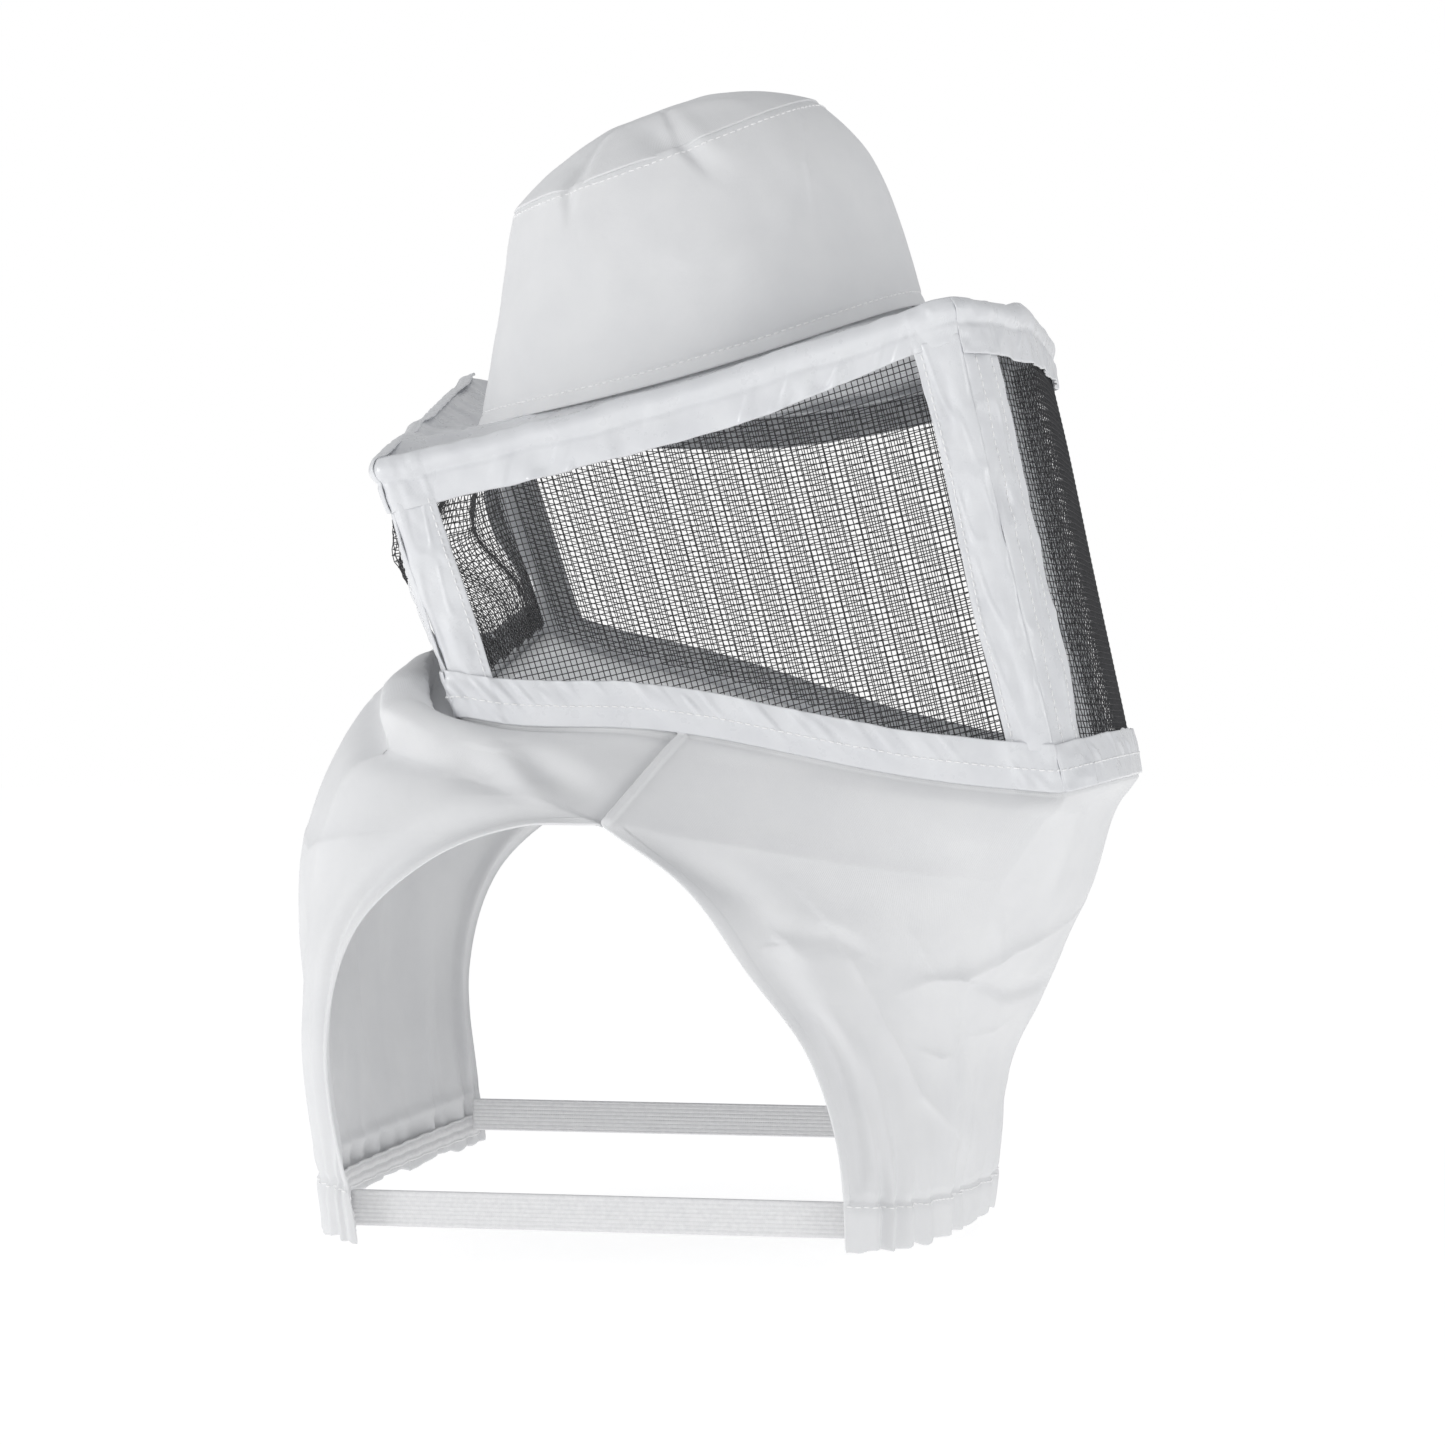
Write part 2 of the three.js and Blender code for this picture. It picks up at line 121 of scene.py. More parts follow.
def crown_wall(angle, rise, inset=0.0):
    """The crown's wall in the hat's frame.

    angle 0 is the wearer's left; rise runs from the base to the tip seam."""
    back = lerp(HEAD_LENGTH / 2, TIP_BACK, rise)
    front = lerp(HEAD_LENGTH / 2, TIP_FRONT, np.maximum(rise, 0) ** 3.2)
    half = lerp(HEAD_WIDTH / 2, TIP_WIDTH / 2, rise**2)
    across, along = np.cos(angle), np.sin(angle)
    y = (back - front) / 2 + along * ((back + front) / 2 - inset)
    seam = lerp(CROWN_FRONT_HEIGHT, CROWN_BACK_HEIGHT, (along + 1) / 2) - TIP_SEAM_DIP * across**2
    return points(across * (half - inset), y, lerp(-BASE_DIP * across**2, seam, rise))


def arch_rise(along):
    """How far a side wall's lower edge curves up. along is 0 at the front and 1 at the back."""
    end = CORNER_TAPE / (FRONT_REACH + BACK_REACH)
    turn = np.pi * between(along, end, 1 - end) ** ARCH_SKEW
    return BOTTOM_ARCH * np.maximum(np.sin(turn), 0) ** 1.5


def wall(side, q, v, out=0.0, drop=0.0):
    """The veil's wall in the hat's frame. q runs along the side and v from its top edge down."""
    q, v = np.broadcast_arrays(np.asarray(q, float), np.asarray(v, float))
    front, back = WALL_LEAN * v - FRONT_REACH, BACK_REACH - WALL_LEAN * v
    if side in ("right", "left"):
        x = np.full(q.shape, (HALF_WIDTH + out) * (1 if side == "left" else -1))
        y = lerp(back, front, q)
        top = -BRIM_DROP - BRIM_SAG * np.sin(np.pi * q)
    else:
        across = 2 * q - 1
        x = across * HALF_WIDTH
        top = -BRIM_DROP
        if side == "front":
            bow = 1 - np.abs(across) ** 4
            y = front - out - lerp(FRONT_BOW_TOP, FRONT_BOW_BOTTOM, v) * bow
            top = top - FRONT_SAG * (1 - v) * bow
        else:
            belly = np.sin(np.pi * between(v, 0.21, 0.82)) ** 2 * (1 - across**2)
            y = back + out + BACK_BELLY * belly
    along = between(y, front, back)
    height = lerp(FRONT_HEIGHT, BACK_HEIGHT, along) - arch_rise(along)
    lift = lerp(LIFT_TOP, LIFT_BOTTOM, v) * (x + HALF_WIDTH) / (2 * HALF_WIDTH) * along**2
    return points(x, y, top - height * v + lift - drop)


def side_length(side):
    return FRONT_REACH + BACK_REACH if side in ("right", "left") else 2 * HALF_WIDTH


def centripetal(knots, count=1500):
    """A centripetal Catmull-Rom curve through the knots, as a function of its share of length."""
    p = np.array(knots, float)
    p = np.vstack([2 * p[0] - p[1], p, 2 * p[-1] - p[-2]])
    out = []
    for k in range(1, len(p) - 2):
        a, b, c, d = p[k - 1 : k + 3]
        d0, d1, d2 = (max(np.dot(e, e) ** 0.25, 1e-6) for e in (b - a, c - b, d - c))
        m1 = ((b - a) / d0 - (c - a) / (d0 + d1) + (c - b) / d1) * d1
        m2 = ((c - b) / d1 - (d - b) / (d1 + d2) + (d - c) / d2) * d1
        t = np.linspace(0, 1, count // (len(p) - 3) + 1)[:, None]
        h = (2 * t**3 - 3 * t**2 + 1) * b + (t**3 - 2 * t**2 + t) * m1
        out.append(h + (3 * t**2 - 2 * t**3) * c + (t**3 - t**2) * m2)
    line = np.vstack(out)
    length = np.concatenate([[0], np.cumsum(np.linalg.norm(np.diff(line, axis=0), axis=1))])
    at = lambda s: np.stack([np.interp(s * length[-1], length, line[:, i]) for i in range(3)], -1)
    return at, length[-1]


def tape_seam(panel, s, sign, level=False):
    """The seam on the bottom tape, from the middle of the panel (s 0) round to the shoulder seam (s 1).

    A level seam leaves out the arch."""
    side = "right" if sign < 0 else "left"
    share = 1 - SHOULDER_SEAM_AT if panel == "front" else SHOULDER_SEAM_AT
    length = side_length(side)
    run = s * (HALF_WIDTH + share * length)
    clear = 2 * GAP + COTTON
    middle = wall(panel, 0.5 + sign * np.minimum(run, HALF_WIDTH) / (2 * HALF_WIDTH), 1.0, TAPE / 2, clear)
    along = np.maximum(run - HALF_WIDTH, 0) / length
    q = 1 - along if panel == "front" else along
    beyond = wall(side, q, 1.0, TAPE / 2, clear + (arch_rise(1 - q) if level else 0))
    return worn(np.where((run < HALF_WIDTH)[..., None], middle, beyond))


def bib_surface(panel):
    """The bib's surface. across is -1 at the right edge and 1 at the left; v runs from tape to hem."""
    start = tape_seam(panel, np.zeros(()), -1)
    centre, _ = centripetal([start] + [start + (0, -f, u) for f, u in CENTRE[panel]])
    edges, seams = {}, []
    for sign in (-1, 1):
        root = tape_seam(panel, np.ones(()), sign)
        hung = tape_seam(panel, np.ones(()), sign, level=True)
        place = [hung + (sign * o, -f, u) for o, f, u in [SHOULDER_TIP] + ARMHOLE[panel]]
        curve, length = centripetal(place)
        seam = np.linalg.norm(place[0] - root)
        share = seam / (seam + length)
        seams.append(share)

        def edge(v, root=root, tip=place[0], curve=curve, share=share):
            straight = lerp(root, tip, (np.minimum(v, share) / share)[..., None])
            return np.where((v < share)[..., None], straight, curve(np.maximum(v - share, 0) / (1 - share)))

        edges[sign] = edge

    def half(s, v, sign):
        middle, edge = centre(v), edges[sign](v)
        w = (s**2)[..., None]
        hung = tape_seam(panel, s, sign) + (middle - tape_seam(panel, 0 * s, sign)) * (1 - w)
        hung = hung + (edge - tape_seam(panel, 0 * s + 1, sign)) * w
        turn = s * np.pi / 2
        wrapped = points(
            lerp(middle[..., 0], edge[..., 0], np.sin(turn)),
            lerp(edge[..., 1], middle[..., 1], np.cos(turn)),
            lerp(edge[..., 2], middle[..., 2], np.cos(turn)),
        )
        return lerp(hung, wrapped, smooth(v / 0.6)[..., None])

    def surface(across, v):
        across, v = np.broadcast_arrays(np.asarray(across, float), np.asarray(v, float))
        s = np.abs(across)
        return np.where((across < 0)[..., None], half(s, v, -1), half(s, v, 1))

    surface.shoulder = min(seams)  # the share of the side edge that is the shoulder seam
    return surface


# ---- Folds and wrinkles ----


def noise(x, y, seed):
    """Smooth noise from -1 to 1, with bumps about one unit wide."""
    table = np.random.default_rng(seed).uniform(-1, 1, (61, 61))
    x, y = np.broadcast_arrays(np.asarray(x, float), np.asarray(y, float))
    i, j = np.floor(x).astype(int), np.floor(y).astype(int)
    u, v = smooth(x - i), smooth(y - j)
    at = lambda a, b: table[a % 61, b % 61]
    return lerp(lerp(at(i, j), at(i + 1, j), u), lerp(at(i, j + 1), at(i + 1, j + 1), u), v)


def fold(s, t, line, near, far, crisp=False):
    """The height of a fold along a line of (s, t, height) knots, all in millimetres.

    near and far are its widths on the left and right of the line. A crisp fold has a sharp crest.
    """
    best = np.full(np.broadcast(s, t).shape, 1e9)
    height, side = np.zeros(best.shape), np.zeros(best.shape)
    for (s0, t0, h0), (s1, t1, h1) in zip(line, line[1:]):
        ds, dt = s1 - s0, t1 - t0
        k = np.clip(((s - s0) * ds + (t - t0) * dt) / (ds * ds + dt * dt), 0, 1)
        a, b = s - s0 - k * ds, t - t0 - k * dt
        distance = np.hypot(a, b)
        closer = distance < best
        best = np.where(closer, distance, best)
        height = np.where(closer, lerp(h0, h1, k), height)
        side = np.where(closer, ds * b - dt * a, side)
    width = np.where(side > 0, far, near)
    ratio = best / width
    return height * (np.exp(-ratio) if crisp else np.exp(-(ratio**2)))


# ---- Meshes ----


class Shape:
    """Collects points, in millimetres, and faces for one mesh."""

    def __init__(self):
        self.points, self.uvs, self.faces, self.count = [], [], [], 0

    def add(self, p, faces, uv=None, material=0):
        p = p.reshape(-1, 3)
        self.points.append(p)
        self.uvs.append(np.zeros((len(p), 2)) if uv is None else uv.reshape(-1, 2))
        self.faces += [(f + self.count, material) for f in faces]
        self.count += len(p)

    def build(self, name, materials):
        mesh = bpy.data.meshes.new(name)
        p = np.concatenate(self.points) * MM
        mesh.vertices.add(len(p))
        mesh.vertices.foreach_set("co", p.ravel())
        loops = np.concatenate([f.ravel() for f, _ in self.faces]).astype(np.int32)
        sizes = np.concatenate([np.full(len(f), f.shape[1]) for f, _ in self.faces])
        kinds = np.concatenate([np.full(len(f), m) for f, m in self.faces])
        mesh.loops.add(len(loops))
        mesh.loops.foreach_set("vertex_index", loops)
        mesh.polygons.add(len(sizes))
        starts = np.concatenate([[0], np.cumsum(sizes)[:-1]])
        mesh.polygons.foreach_set("loop_start", starts.astype(np.int32))
        mesh.polygons.foreach_set("material_index", kinds.astype(np.int32))
        mesh.polygons.foreach_set("use_smooth", np.ones(len(sizes), bool))
        layer = mesh.uv_layers.new(name="cloth")
        layer.data.foreach_set("uv", (np.concatenate(self.uvs)[loops] * MM).ravel().astype(np.float32))
        mesh.update(calc_edges=True)
        mesh.validate()
        for material in materials:
            mesh.materials.append(material)
        obj = bpy.data.objects.new(name, mesh)
        bpy.context.scene.collection.objects.link(obj)
        return obj


def normals_of(grid, ring=False):
    """Unit normals of a grid of points, by differences. A ring's first axis goes round."""
    wide = np.concatenate([grid[-1:], grid, grid[:1]]) if ring else grid
    across = np.gradient(wide, axis=0)
    across = across[1:-1] if ring else across
    n = np.cross(across, np.gradient(grid, axis=1))
    return n / np.maximum(np.linalg.norm(n, axis=-1, keepdims=True), 1e-9)


def add_cloth(shape, grid, thickness, facing="out", ring=False, size=None, material=0):
    """Adds a closed cloth whose outer face is the grid of points. Returns the outer face's normals."""
    n, m = grid.shape[:2]
    size = size or (float(np.linalg.norm(np.diff(grid[:, m // 2], axis=0), axis=1).sum()),
                    float(np.linalg.norm(np.diff(grid[n // 2], axis=0), axis=1).sum()))
    u, v = np.meshgrid(np.linspace(0, size[0], n), np.linspace(0, size[1], m), indexing="ij")
    uv = np.stack([u, v], -1)
    normal = normals_of(grid, ring)
    toward = points(0 * grid[..., 0], 0, 1) if facing == "up" else points(grid[..., 0], grid[..., 1], 0)
    flip = (normal * toward).sum() < 0
    if flip:
        grid, normal, uv = grid[::-1], -normal[::-1], uv[::-1]
    thickness = np.broadcast_to(np.asarray(thickness, float), grid.shape[:2])
    thickness = (thickness[::-1] if flip else thickness)[..., None]
    inner = grid - normal * thickness
    index = np.arange(n * m).reshape(n, m)
    if ring:
        index = np.concatenate([index, index[:1]])
    a, b, c, d = index[:-1, :-1], index[1:, :-1], index[1:, 1:], index[:-1, 1:]
    outside = np.stack([a, b, c, d], -1).reshape(-1, 4)
    loops = [index[:, 0], index[::-1, -1]] if ring else [
        np.concatenate([index[:, 0], index[-1, 1:], index[-2::-1, -1], index[0, -2::-1]])]
    total = n * m
    faces = [outside, outside[:, ::-1] + total]
    everything, places = [grid.reshape(-1, 3), inner.reshape(-1, 3)], [uv.reshape(-1, 2)] * 2
    start = 2 * total
    for loop in loops:
        k = loop[:-1]
        i, j = np.divmod(k, m)
        within = grid[i if ring else np.clip(i, 1, n - 2), np.clip(j, 1, m - 2)]
        edge = grid[i, j]
        away = edge - within
        away /= np.maximum(np.linalg.norm(away, axis=-1, keepdims=True), 1e-9)
        thick = thickness[i, j]
        rim = (edge + inner[i, j]) / 2 + away * thick * 0.4
        r = start + np.arange(len(k))
        after, r_after = np.roll(k, -1), np.roll(r, -1)
        faces.append(np.stack([after, k, r, r_after], -1))
        faces.append(np.stack([r_after, r, k + total, after + total], -1))
        everything.append(rim)
        places.append(uv[i, j])
        start += len(k)
    shape.add(np.concatenate(everything), faces, np.concatenate(places), material)
    return normal[::-1] if flip else normal


def along(line, step, first=0.0):
    """Points at even steps along a polyline: (place, direction, fractional index)."""
    length = np.concatenate([[0], np.cumsum(np.linalg.norm(np.diff(line, axis=0), axis=1))])
    at = np.arange(first, length[-1], step)
    k = np.interp(at, length, np.arange(len(line)))
    place = np.stack([np.interp(k, np.arange(len(line)), line[:, i]) for i in range(3)], -1)
    ahead = np.minimum(k + 0.3, len(line) - 1)
    behind = ahead - 0.3
    pick = lambda q: np.stack([np.interp(q, np.arange(len(line)), line[:, i]) for i in range(3)], -1)
    direction = pick(ahead) - pick(behind)
    return place, direction / np.maximum(np.linalg.norm(direction, axis=-1, keepdims=True), 1e-9), k


STITCH, STITCH_PITCH, THREAD_RADIUS = 2.7, 3.7, 0.34


def add_stitches(shape, line, normal, lift=0.12, material=1, seed=0):
    """Adds a row of stitches along a line of points that lie on the cloth, with its normals there."""
    place, direction, k = along(line, STITCH_PITCH, STITCH_PITCH / 2)
    if not len(place):
        return
    up = np.stack([np.interp(k, np.arange(len(line)), normal[:, i]) for i in range(3)], -1)
    up /= np.linalg.norm(up, axis=-1, keepdims=True)
    side = np.cross(up, direction)
    sway = np.random.default_rng(seed).uniform(-0.12, 0.12, (len(place), 1))
    ends = np.array([-1.0, -0.72, 0.72, 1.0])
    girth = np.array([0.35, 1.0, 1.0, 0.35]) * THREAD_RADIUS
    sunk = np.array([-0.22, 0.0, 0.0, -0.22])
    turn = np.arange(6) / 6 * 2 * np.pi
    p = place[:, None, None] + direction[:, None, None] * (ends * STITCH / 2)[None, :, None, None]
    p = p + side[:, None, None] * (girth[:, None] * np.cos(turn))[None, :, :, None]
    p = p + side[:, None, None] * (sway * ends)[:, :, None, None]
    p = p + up[:, None, None] * (girth[:, None] * np.sin(turn) + lift + sunk[:, None])[None, :, :, None]
    index = np.arange(len(place) * 24).reshape(-1, 4, 6)
    a, b = index[:, :-1], index[:, 1:]
    sides = np.stack([a, np.roll(a, -1, 2), np.roll(b, -1, 2), b], -1).reshape(-1, 4)
    shape.add(p, [sides, index[:, 0, ::-1], index[:, 3]], material=material)


# ---- Materials ----


def new_material(name):
    material = bpy.data.materials.new(name)
    material.use_nodes = True
    tree = material.node_tree
    shader = tree.nodes["Principled BSDF"]
    return material, tree, shader


def node(tree, kind, values=None, **settings):
    made = tree.nodes.new(kind)
    for key, value in settings.items():
        setattr(made, key, value)
    for key, value in (values or {}).items():
        made.inputs[key].default_value = value
    return made


def ramp(tree, source, low, high, dark, light):
    """A colour that runs from dark to light as the source goes from low to high."""
    made = node(tree, "ShaderNodeValToRGB")
    made.color_ramp.elements[0].position, made.color_ramp.elements[1].position = low, high
    made.color_ramp.elements[0].color = (*dark, 1)
    made.color_ramp.elements[1].color = (*light, 1)
    tree.links.new(source, made.inputs["Fac"])
    return made.outputs["Color"]


def bump(tree, height, distance, strength, before=None):
    made = node(tree, "ShaderNodeBump", {"Distance": distance, "Strength": strength})
    tree.links.new(height, made.inputs["Height"])
    if before is not None:
        tree.links.new(before, made.inputs["Normal"])
    return made.outputs["Normal"]


def weave(tree, period):
    """The height of a plain weave, from the cloth's own UV map in metres."""
    uv = node(tree, "ShaderNodeUVMap", uv_map="cloth")
    waves = []
    for direction in ("X", "Y"):
        wave = node(tree, "ShaderNodeTexWave", {"Scale": math.pi / 10 / period, "Distortion": 0.0},
                    wave_type="BANDS", bands_direction=direction)
        tree.links.new(uv.outputs["UV"], wave.inputs["Vector"])
        waves.append(wave.outputs["Fac"])
    both = node(tree, "ShaderNodeMath", operation="MULTIPLY")
    tree.links.new(waves[0], both.inputs[0])
    tree.links.new(waves[1], both.inputs[1])
    return both.outputs[0]


def cloth_noise(tree, scale, detail=3.0):
    coordinates = node(tree, "ShaderNodeTexCoord")
    made = node(tree, "ShaderNodeTexNoise", {"Scale": scale, "Detail": detail, "Roughness": 0.55})
    tree.links.new(coordinates.outputs["Object"], made.inputs["Vector"])
    return made.outputs["Fac"]


def cotton_material():
    """Matt white cotton: a fine plain weave, slubs and a soft nap."""
    material, tree, shader = new_material("White_Cotton")
    colour = ramp(tree, cloth_noise(tree, 35.0), 0.3, 0.7, (0.765, 0.77, 0.782), (0.80, 0.804, 0.812))
    tree.links.new(colour, shader.inputs["Base Color"])
    shader.inputs["Roughness"].default_value = 0.86
    shader.inputs["Specular IOR Level"].default_value = 0.25
    shader.inputs["Sheen Weight"].default_value = 0.12
    shader.inputs["Sheen Roughness"].default_value = 0.5
    slubs = bump(tree, cloth_noise(tree, 420.0, 2.0), 0.0006, 0.12)
    threads = bump(tree, weave(tree, 0.00045), 0.0002, 0.35, slubs)
    tree.links.new(threads, shader.inputs["Normal"])
    return material


def coated_material():
    """Shiny coated white tape: a smooth film over a fine weave, crinkled where it was sewn."""
    material, tree, shader = new_material("Coated_Tape")
    colour = ramp(tree, cloth_noise(tree, 60.0), 0.3, 0.7, (0.71, 0.72, 0.745), (0.765, 0.775, 0.795))
    tree.links.new(colour, shader.inputs["Base Color"])
    rough = node(tree, "ShaderNodeMapRange", {"From Min": 0.3, "From Max": 0.7, "To Min": 0.24, "To Max": 0.42})
    tree.links.new(cloth_noise(tree, 140.0), rough.inputs["Value"])
    tree.links.new(rough.outputs["Result"], shader.inputs["Roughness"])
    shader.inputs["Specular IOR Level"].default_value = 0.5
    shader.inputs["Coat Weight"].default_value = 0.45
    shader.inputs["Coat Roughness"].default_value = 0.14
    crinkle = bump(tree, cloth_noise(tree, 70.0, 1.5), 0.002, 0.35)
    threads = bump(tree, weave(tree, 0.0006), 0.0002, 0.25, crinkle)
    tree.links.new(threads, shader.inputs["Normal"])
    return material


def netting_material():
    """Black coated thread with a dull shine."""
    material, tree, shader = new_material("Black_Netting")
    colour = ramp(tree, cloth_noise(tree, 900.0), 0.3, 0.7, (0.022, 0.022, 0.024), (0.05, 0.05, 0.054))
    tree.links.new(colour, shader.inputs["Base Color"])
    shader.inputs["Roughness"].default_value = 0.42
    shader.inputs["Specular IOR Level"].default_value = 0.5
    return material


def elastic_material():
    """White knitted elastic: soft ribs of rubber under cotton."""
    material, tree, shader = new_material("Ribbed_Elastic")
    colour = ramp(tree, cloth_noise(tree, 500.0), 0.3, 0.7, (0.74, 0.74, 0.75), (0.81, 0.81, 0.815))
    tree.links.new(colour, shader.inputs["Base Color"])
    shader.inputs["Roughness"].default_value = 0.78
    shader.inputs["Specular IOR Level"].default_value = 0.3
    tree.links.new(bump(tree, weave(tree, 0.0009), 0.0002, 0.3), shader.inputs["Normal"])
    return material


def thread_material():
    """White sewing thread, a little glossier than the cotton."""
    material, tree, shader = new_material("White_Thread")
    colour = ramp(tree, cloth_noise(tree, 1500.0), 0.3, 0.7, (0.90, 0.90, 0.905), (0.96, 0.96, 0.96))
    tree.links.new(colour, shader.inputs["Base Color"])
    shader.inputs["Roughness"].default_value = 0.5
    return material


def wire_material():
    """Pale moulded boning in the brim's edge."""
    material, tree, shader = new_material("Pale_Boning")
    colour = ramp(tree, cloth_noise(tree, 300.0), 0.3, 0.7, (0.55, 0.56, 0.58), (0.63, 0.64, 0.66))
    tree.links.new(colour, shader.inputs["Base Color"])
    shader.inputs["Roughness"].default_value = 0.35
    tree.links.new(bump(tree, cloth_noise(tree, 800.0), 0.0003, 0.2), shader.inputs["Normal"])
    return material


COTTON_CLOTH, COATED, NETTING = cotton_material(), coated_material(), netting_material()
RIBBED, THREAD, WIRE = elastic_material(), thread_material(), wire_material()

# ---- Camera, light and floor ----

CAMERA_TURN, CAMERA_RISE, CAMERA_DISTANCE = math.radians(-82), math.radians(0.0), 2.0
AIM = Vector((0, -0.0094, -0.166))


def add_camera():
    data = bpy.data.cameras.new("Camera")
    data.sensor_width = 36
    data.lens = 36 / (1445 / 4300)
    data.clip_start, data.clip_end = 0.05, 60
    camera = bpy.data.objects.new("Camera", data)
    away = Vector((math.sin(CAMERA_TURN) * math.cos(CAMERA_RISE),
                   -math.cos(CAMERA_TURN) * math.cos(CAMERA_RISE), math.sin(CAMERA_RISE)))
    camera.location = AIM + away * CAMERA_DISTANCE
    camera.rotation_euler = (-away).to_track_quat("-Z", "Y").to_euler()
    bpy.context.scene.collection.objects.link(camera)
    bpy.context.scene.camera = camera


def add_softbox(name, place, size, watts, colour=(1, 1, 1)):
    data = bpy.data.lights.new(name, "AREA")
    data.shape, data.size, data.energy, data.color = "DISK", size, watts, colour
    light = bpy.data.objects.new(name, data)
    light.location = place
    light.rotation_euler = (AIM - Vector(place)).to_track_quat("-Z", "Y").to_euler()
    bpy.context.scene.collection.objects.link(light)


def add_studio():
    world = bpy.data.worlds.new("Studio")
    world.use_nodes = True
    tree = world.node_tree
    tree.nodes.clear()
    coordinates = node(tree, "ShaderNodeTexCoord")
    split = node(tree, "ShaderNodeSeparateXYZ")
    tree.links.new(coordinates.outputs["Generated"], split.inputs[0])
    height = node(tree, "ShaderNodeMapRange", {"From Min": -1.0, "From Max": 1.0})
    tree.links.new(split.outputs["Z"], height.inputs["Value"])
    fill = node(tree, "ShaderNodeValToRGB")
    stops = fill.color_ramp.elements
    stops[0].position, stops[0].color = 0.0, (0.8, 0.8, 0.8, 1)
    stops[1].position, stops[1].color = 1.0, (0.47, 0.475, 0.485, 1)
    level = stops.new(0.5)
    level.color = (0.6, 0.605, 0.61, 1)
    tree.links.new(height.outputs["Result"], fill.inputs["Fac"])
    light = node(tree, "ShaderNodeBackground", {"Strength": 1.0})
    tree.links.new(fill.outputs["Color"], light.inputs["Color"])
    seen = node(tree, "ShaderNodeBackground", {"Color": (1, 1, 1, 1), "Strength": 1.0})
    path = node(tree, "ShaderNodeLightPath")
    pick = node(tree, "ShaderNodeMixShader")
    tree.links.new(path.outputs["Is Camera Ray"], pick.inputs[0])
    tree.links.new(light.outputs[0], pick.inputs[1])
    tree.links.new(seen.outputs[0], pick.inputs[2])
    out = node(tree, "ShaderNodeOutputWorld")
    tree.links.new(pick.outputs[0], out.inputs["Surface"])
    bpy.context.scene.world = world
    scene = bpy.context.scene
    scene.view_settings.view_transform = "Standard"
    scene.view_settings.look = "None"
    add_softbox("Key", (-1.4, 2.2, 0.25), 1.0, 19)
    add_softbox("Fill", (-1.5, -2.4, 0.2), 1.0, 10)
    add_softbox("Low", (-1.2, -0.6, -0.85), 0.5, 3.6)
    floor_low = float(cad_bounds[0][2]) - 0.012
    bpy.ops.mesh.primitive_circle_add(radius=14, vertices=96, fill_type="NGON", location=(0, 0, floor_low))
    floor = bpy.context.object
    floor.name = "Floor"
    material, tree, shader = new_material("Pale_Floor")
    colour = ramp(tree, cloth_noise(tree, 3.0), 0.3, 0.7, (0.35, 0.35, 0.35), (0.36, 0.36, 0.36))
    tree.links.new(colour, shader.inputs["Base Color"])
    shader.inputs["Roughness"].default_value = 0.9
    shader.inputs["Specular IOR Level"].default_value = 0.0
    shader.inputs["Emission Color"].default_value = (1, 1, 1, 1)
    shader.inputs["Emission Strength"].default_value = 0.82
    floor.data.materials.append(material)


add_camera()
add_studio()

# ---- The veil's outline, once round from the right side's back corner, in the hat's frame ----

SIDES = ("right", "front", "left", "back")
ROUND = [0.0]
for name in SIDES:
    ROUND.append(ROUND[-1] + side_length(name))
CORNER_SOFTNESS = 2.6  # how far the cloth rounds off each corner


def flat_wall(run, v):
    """The wall at a distance round the veil, with sharp corners."""
    run = np.mod(run, ROUND[-1])
    out = np.zeros(run.shape + (3,))
    for k, side in enumerate(SIDES):
        q = (run - ROUND[k]) / (ROUND[k + 1] - ROUND[k])
        q = 1 - q if side in ("left", "back") else q
        here = (run >= ROUND[k]) & (run < ROUND[k + 1])
        out = np.where(here[..., None], wall(side, np.clip(q, 0, 1), v), out)
    return out


def height_at(run):
    return flat_wall(run, 0 * run)[..., 2] - flat_wall(run, 0 * run + 1)[..., 2]


def soft_wall(run, v):
    """The wall with its corners rounded."""
    run, v = np.broadcast_arrays(np.asarray(run, float), np.asarray(v, float))
    taps = np.linspace(-2, 2, 9)
    weights = np.exp(-(taps**2) / 2)
    weights /= weights.sum()
    return sum(w * flat_wall(run + tap * CORNER_SOFTNESS, v) for tap, w in zip(taps, weights))


def veil(run, v, out=0.0):
    """A point on the veil, moved off the wall by out, in the worn frame."""
    run, v = np.broadcast_arrays(np.asarray(run, float), np.asarray(v, float))
    p = soft_wall(run, v)
    if np.ndim(out) or out:
        sideways = soft_wall(run + 1.5, v) - soft_wall(run - 1.5, v)
        down = soft_wall(run, v + 0.01) - soft_wall(run, v - 0.01)
        normal = np.cross(down, sideways)
        normal /= np.linalg.norm(normal, axis=-1, keepdims=True)
        p = p + normal * np.asarray(out)[..., None]
    return worn(p)


def corner_distance(run):
    """The distance along the outline to the nearest corner."""
    return np.min([np.abs((run - c + ROUND[-1] / 2) % ROUND[-1] - ROUND[-1] / 2) for c in ROUND[:4]], axis=0)


def side_runs(side):
    k = SIDES.index(side)
    return ROUND[k], ROUND[k + 1]


def finish_piece(obj, body, nodes):
    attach(obj, body) if body else None
    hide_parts(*nodes)
    return obj


def hat_up(distance=1.0):
    return worn(np.array([0.0, 0.0, distance]))


# ---- Crown ----

CROWN_RADIUS = 97.0  # turns an angle round the crown into a distance
CROWN_WALL = (CROWN_FRONT_HEIGHT + CROWN_BACK_HEIGHT) / 2
TIP_STITCH = 3.6  # from the tip seam down to the wall's topstitch


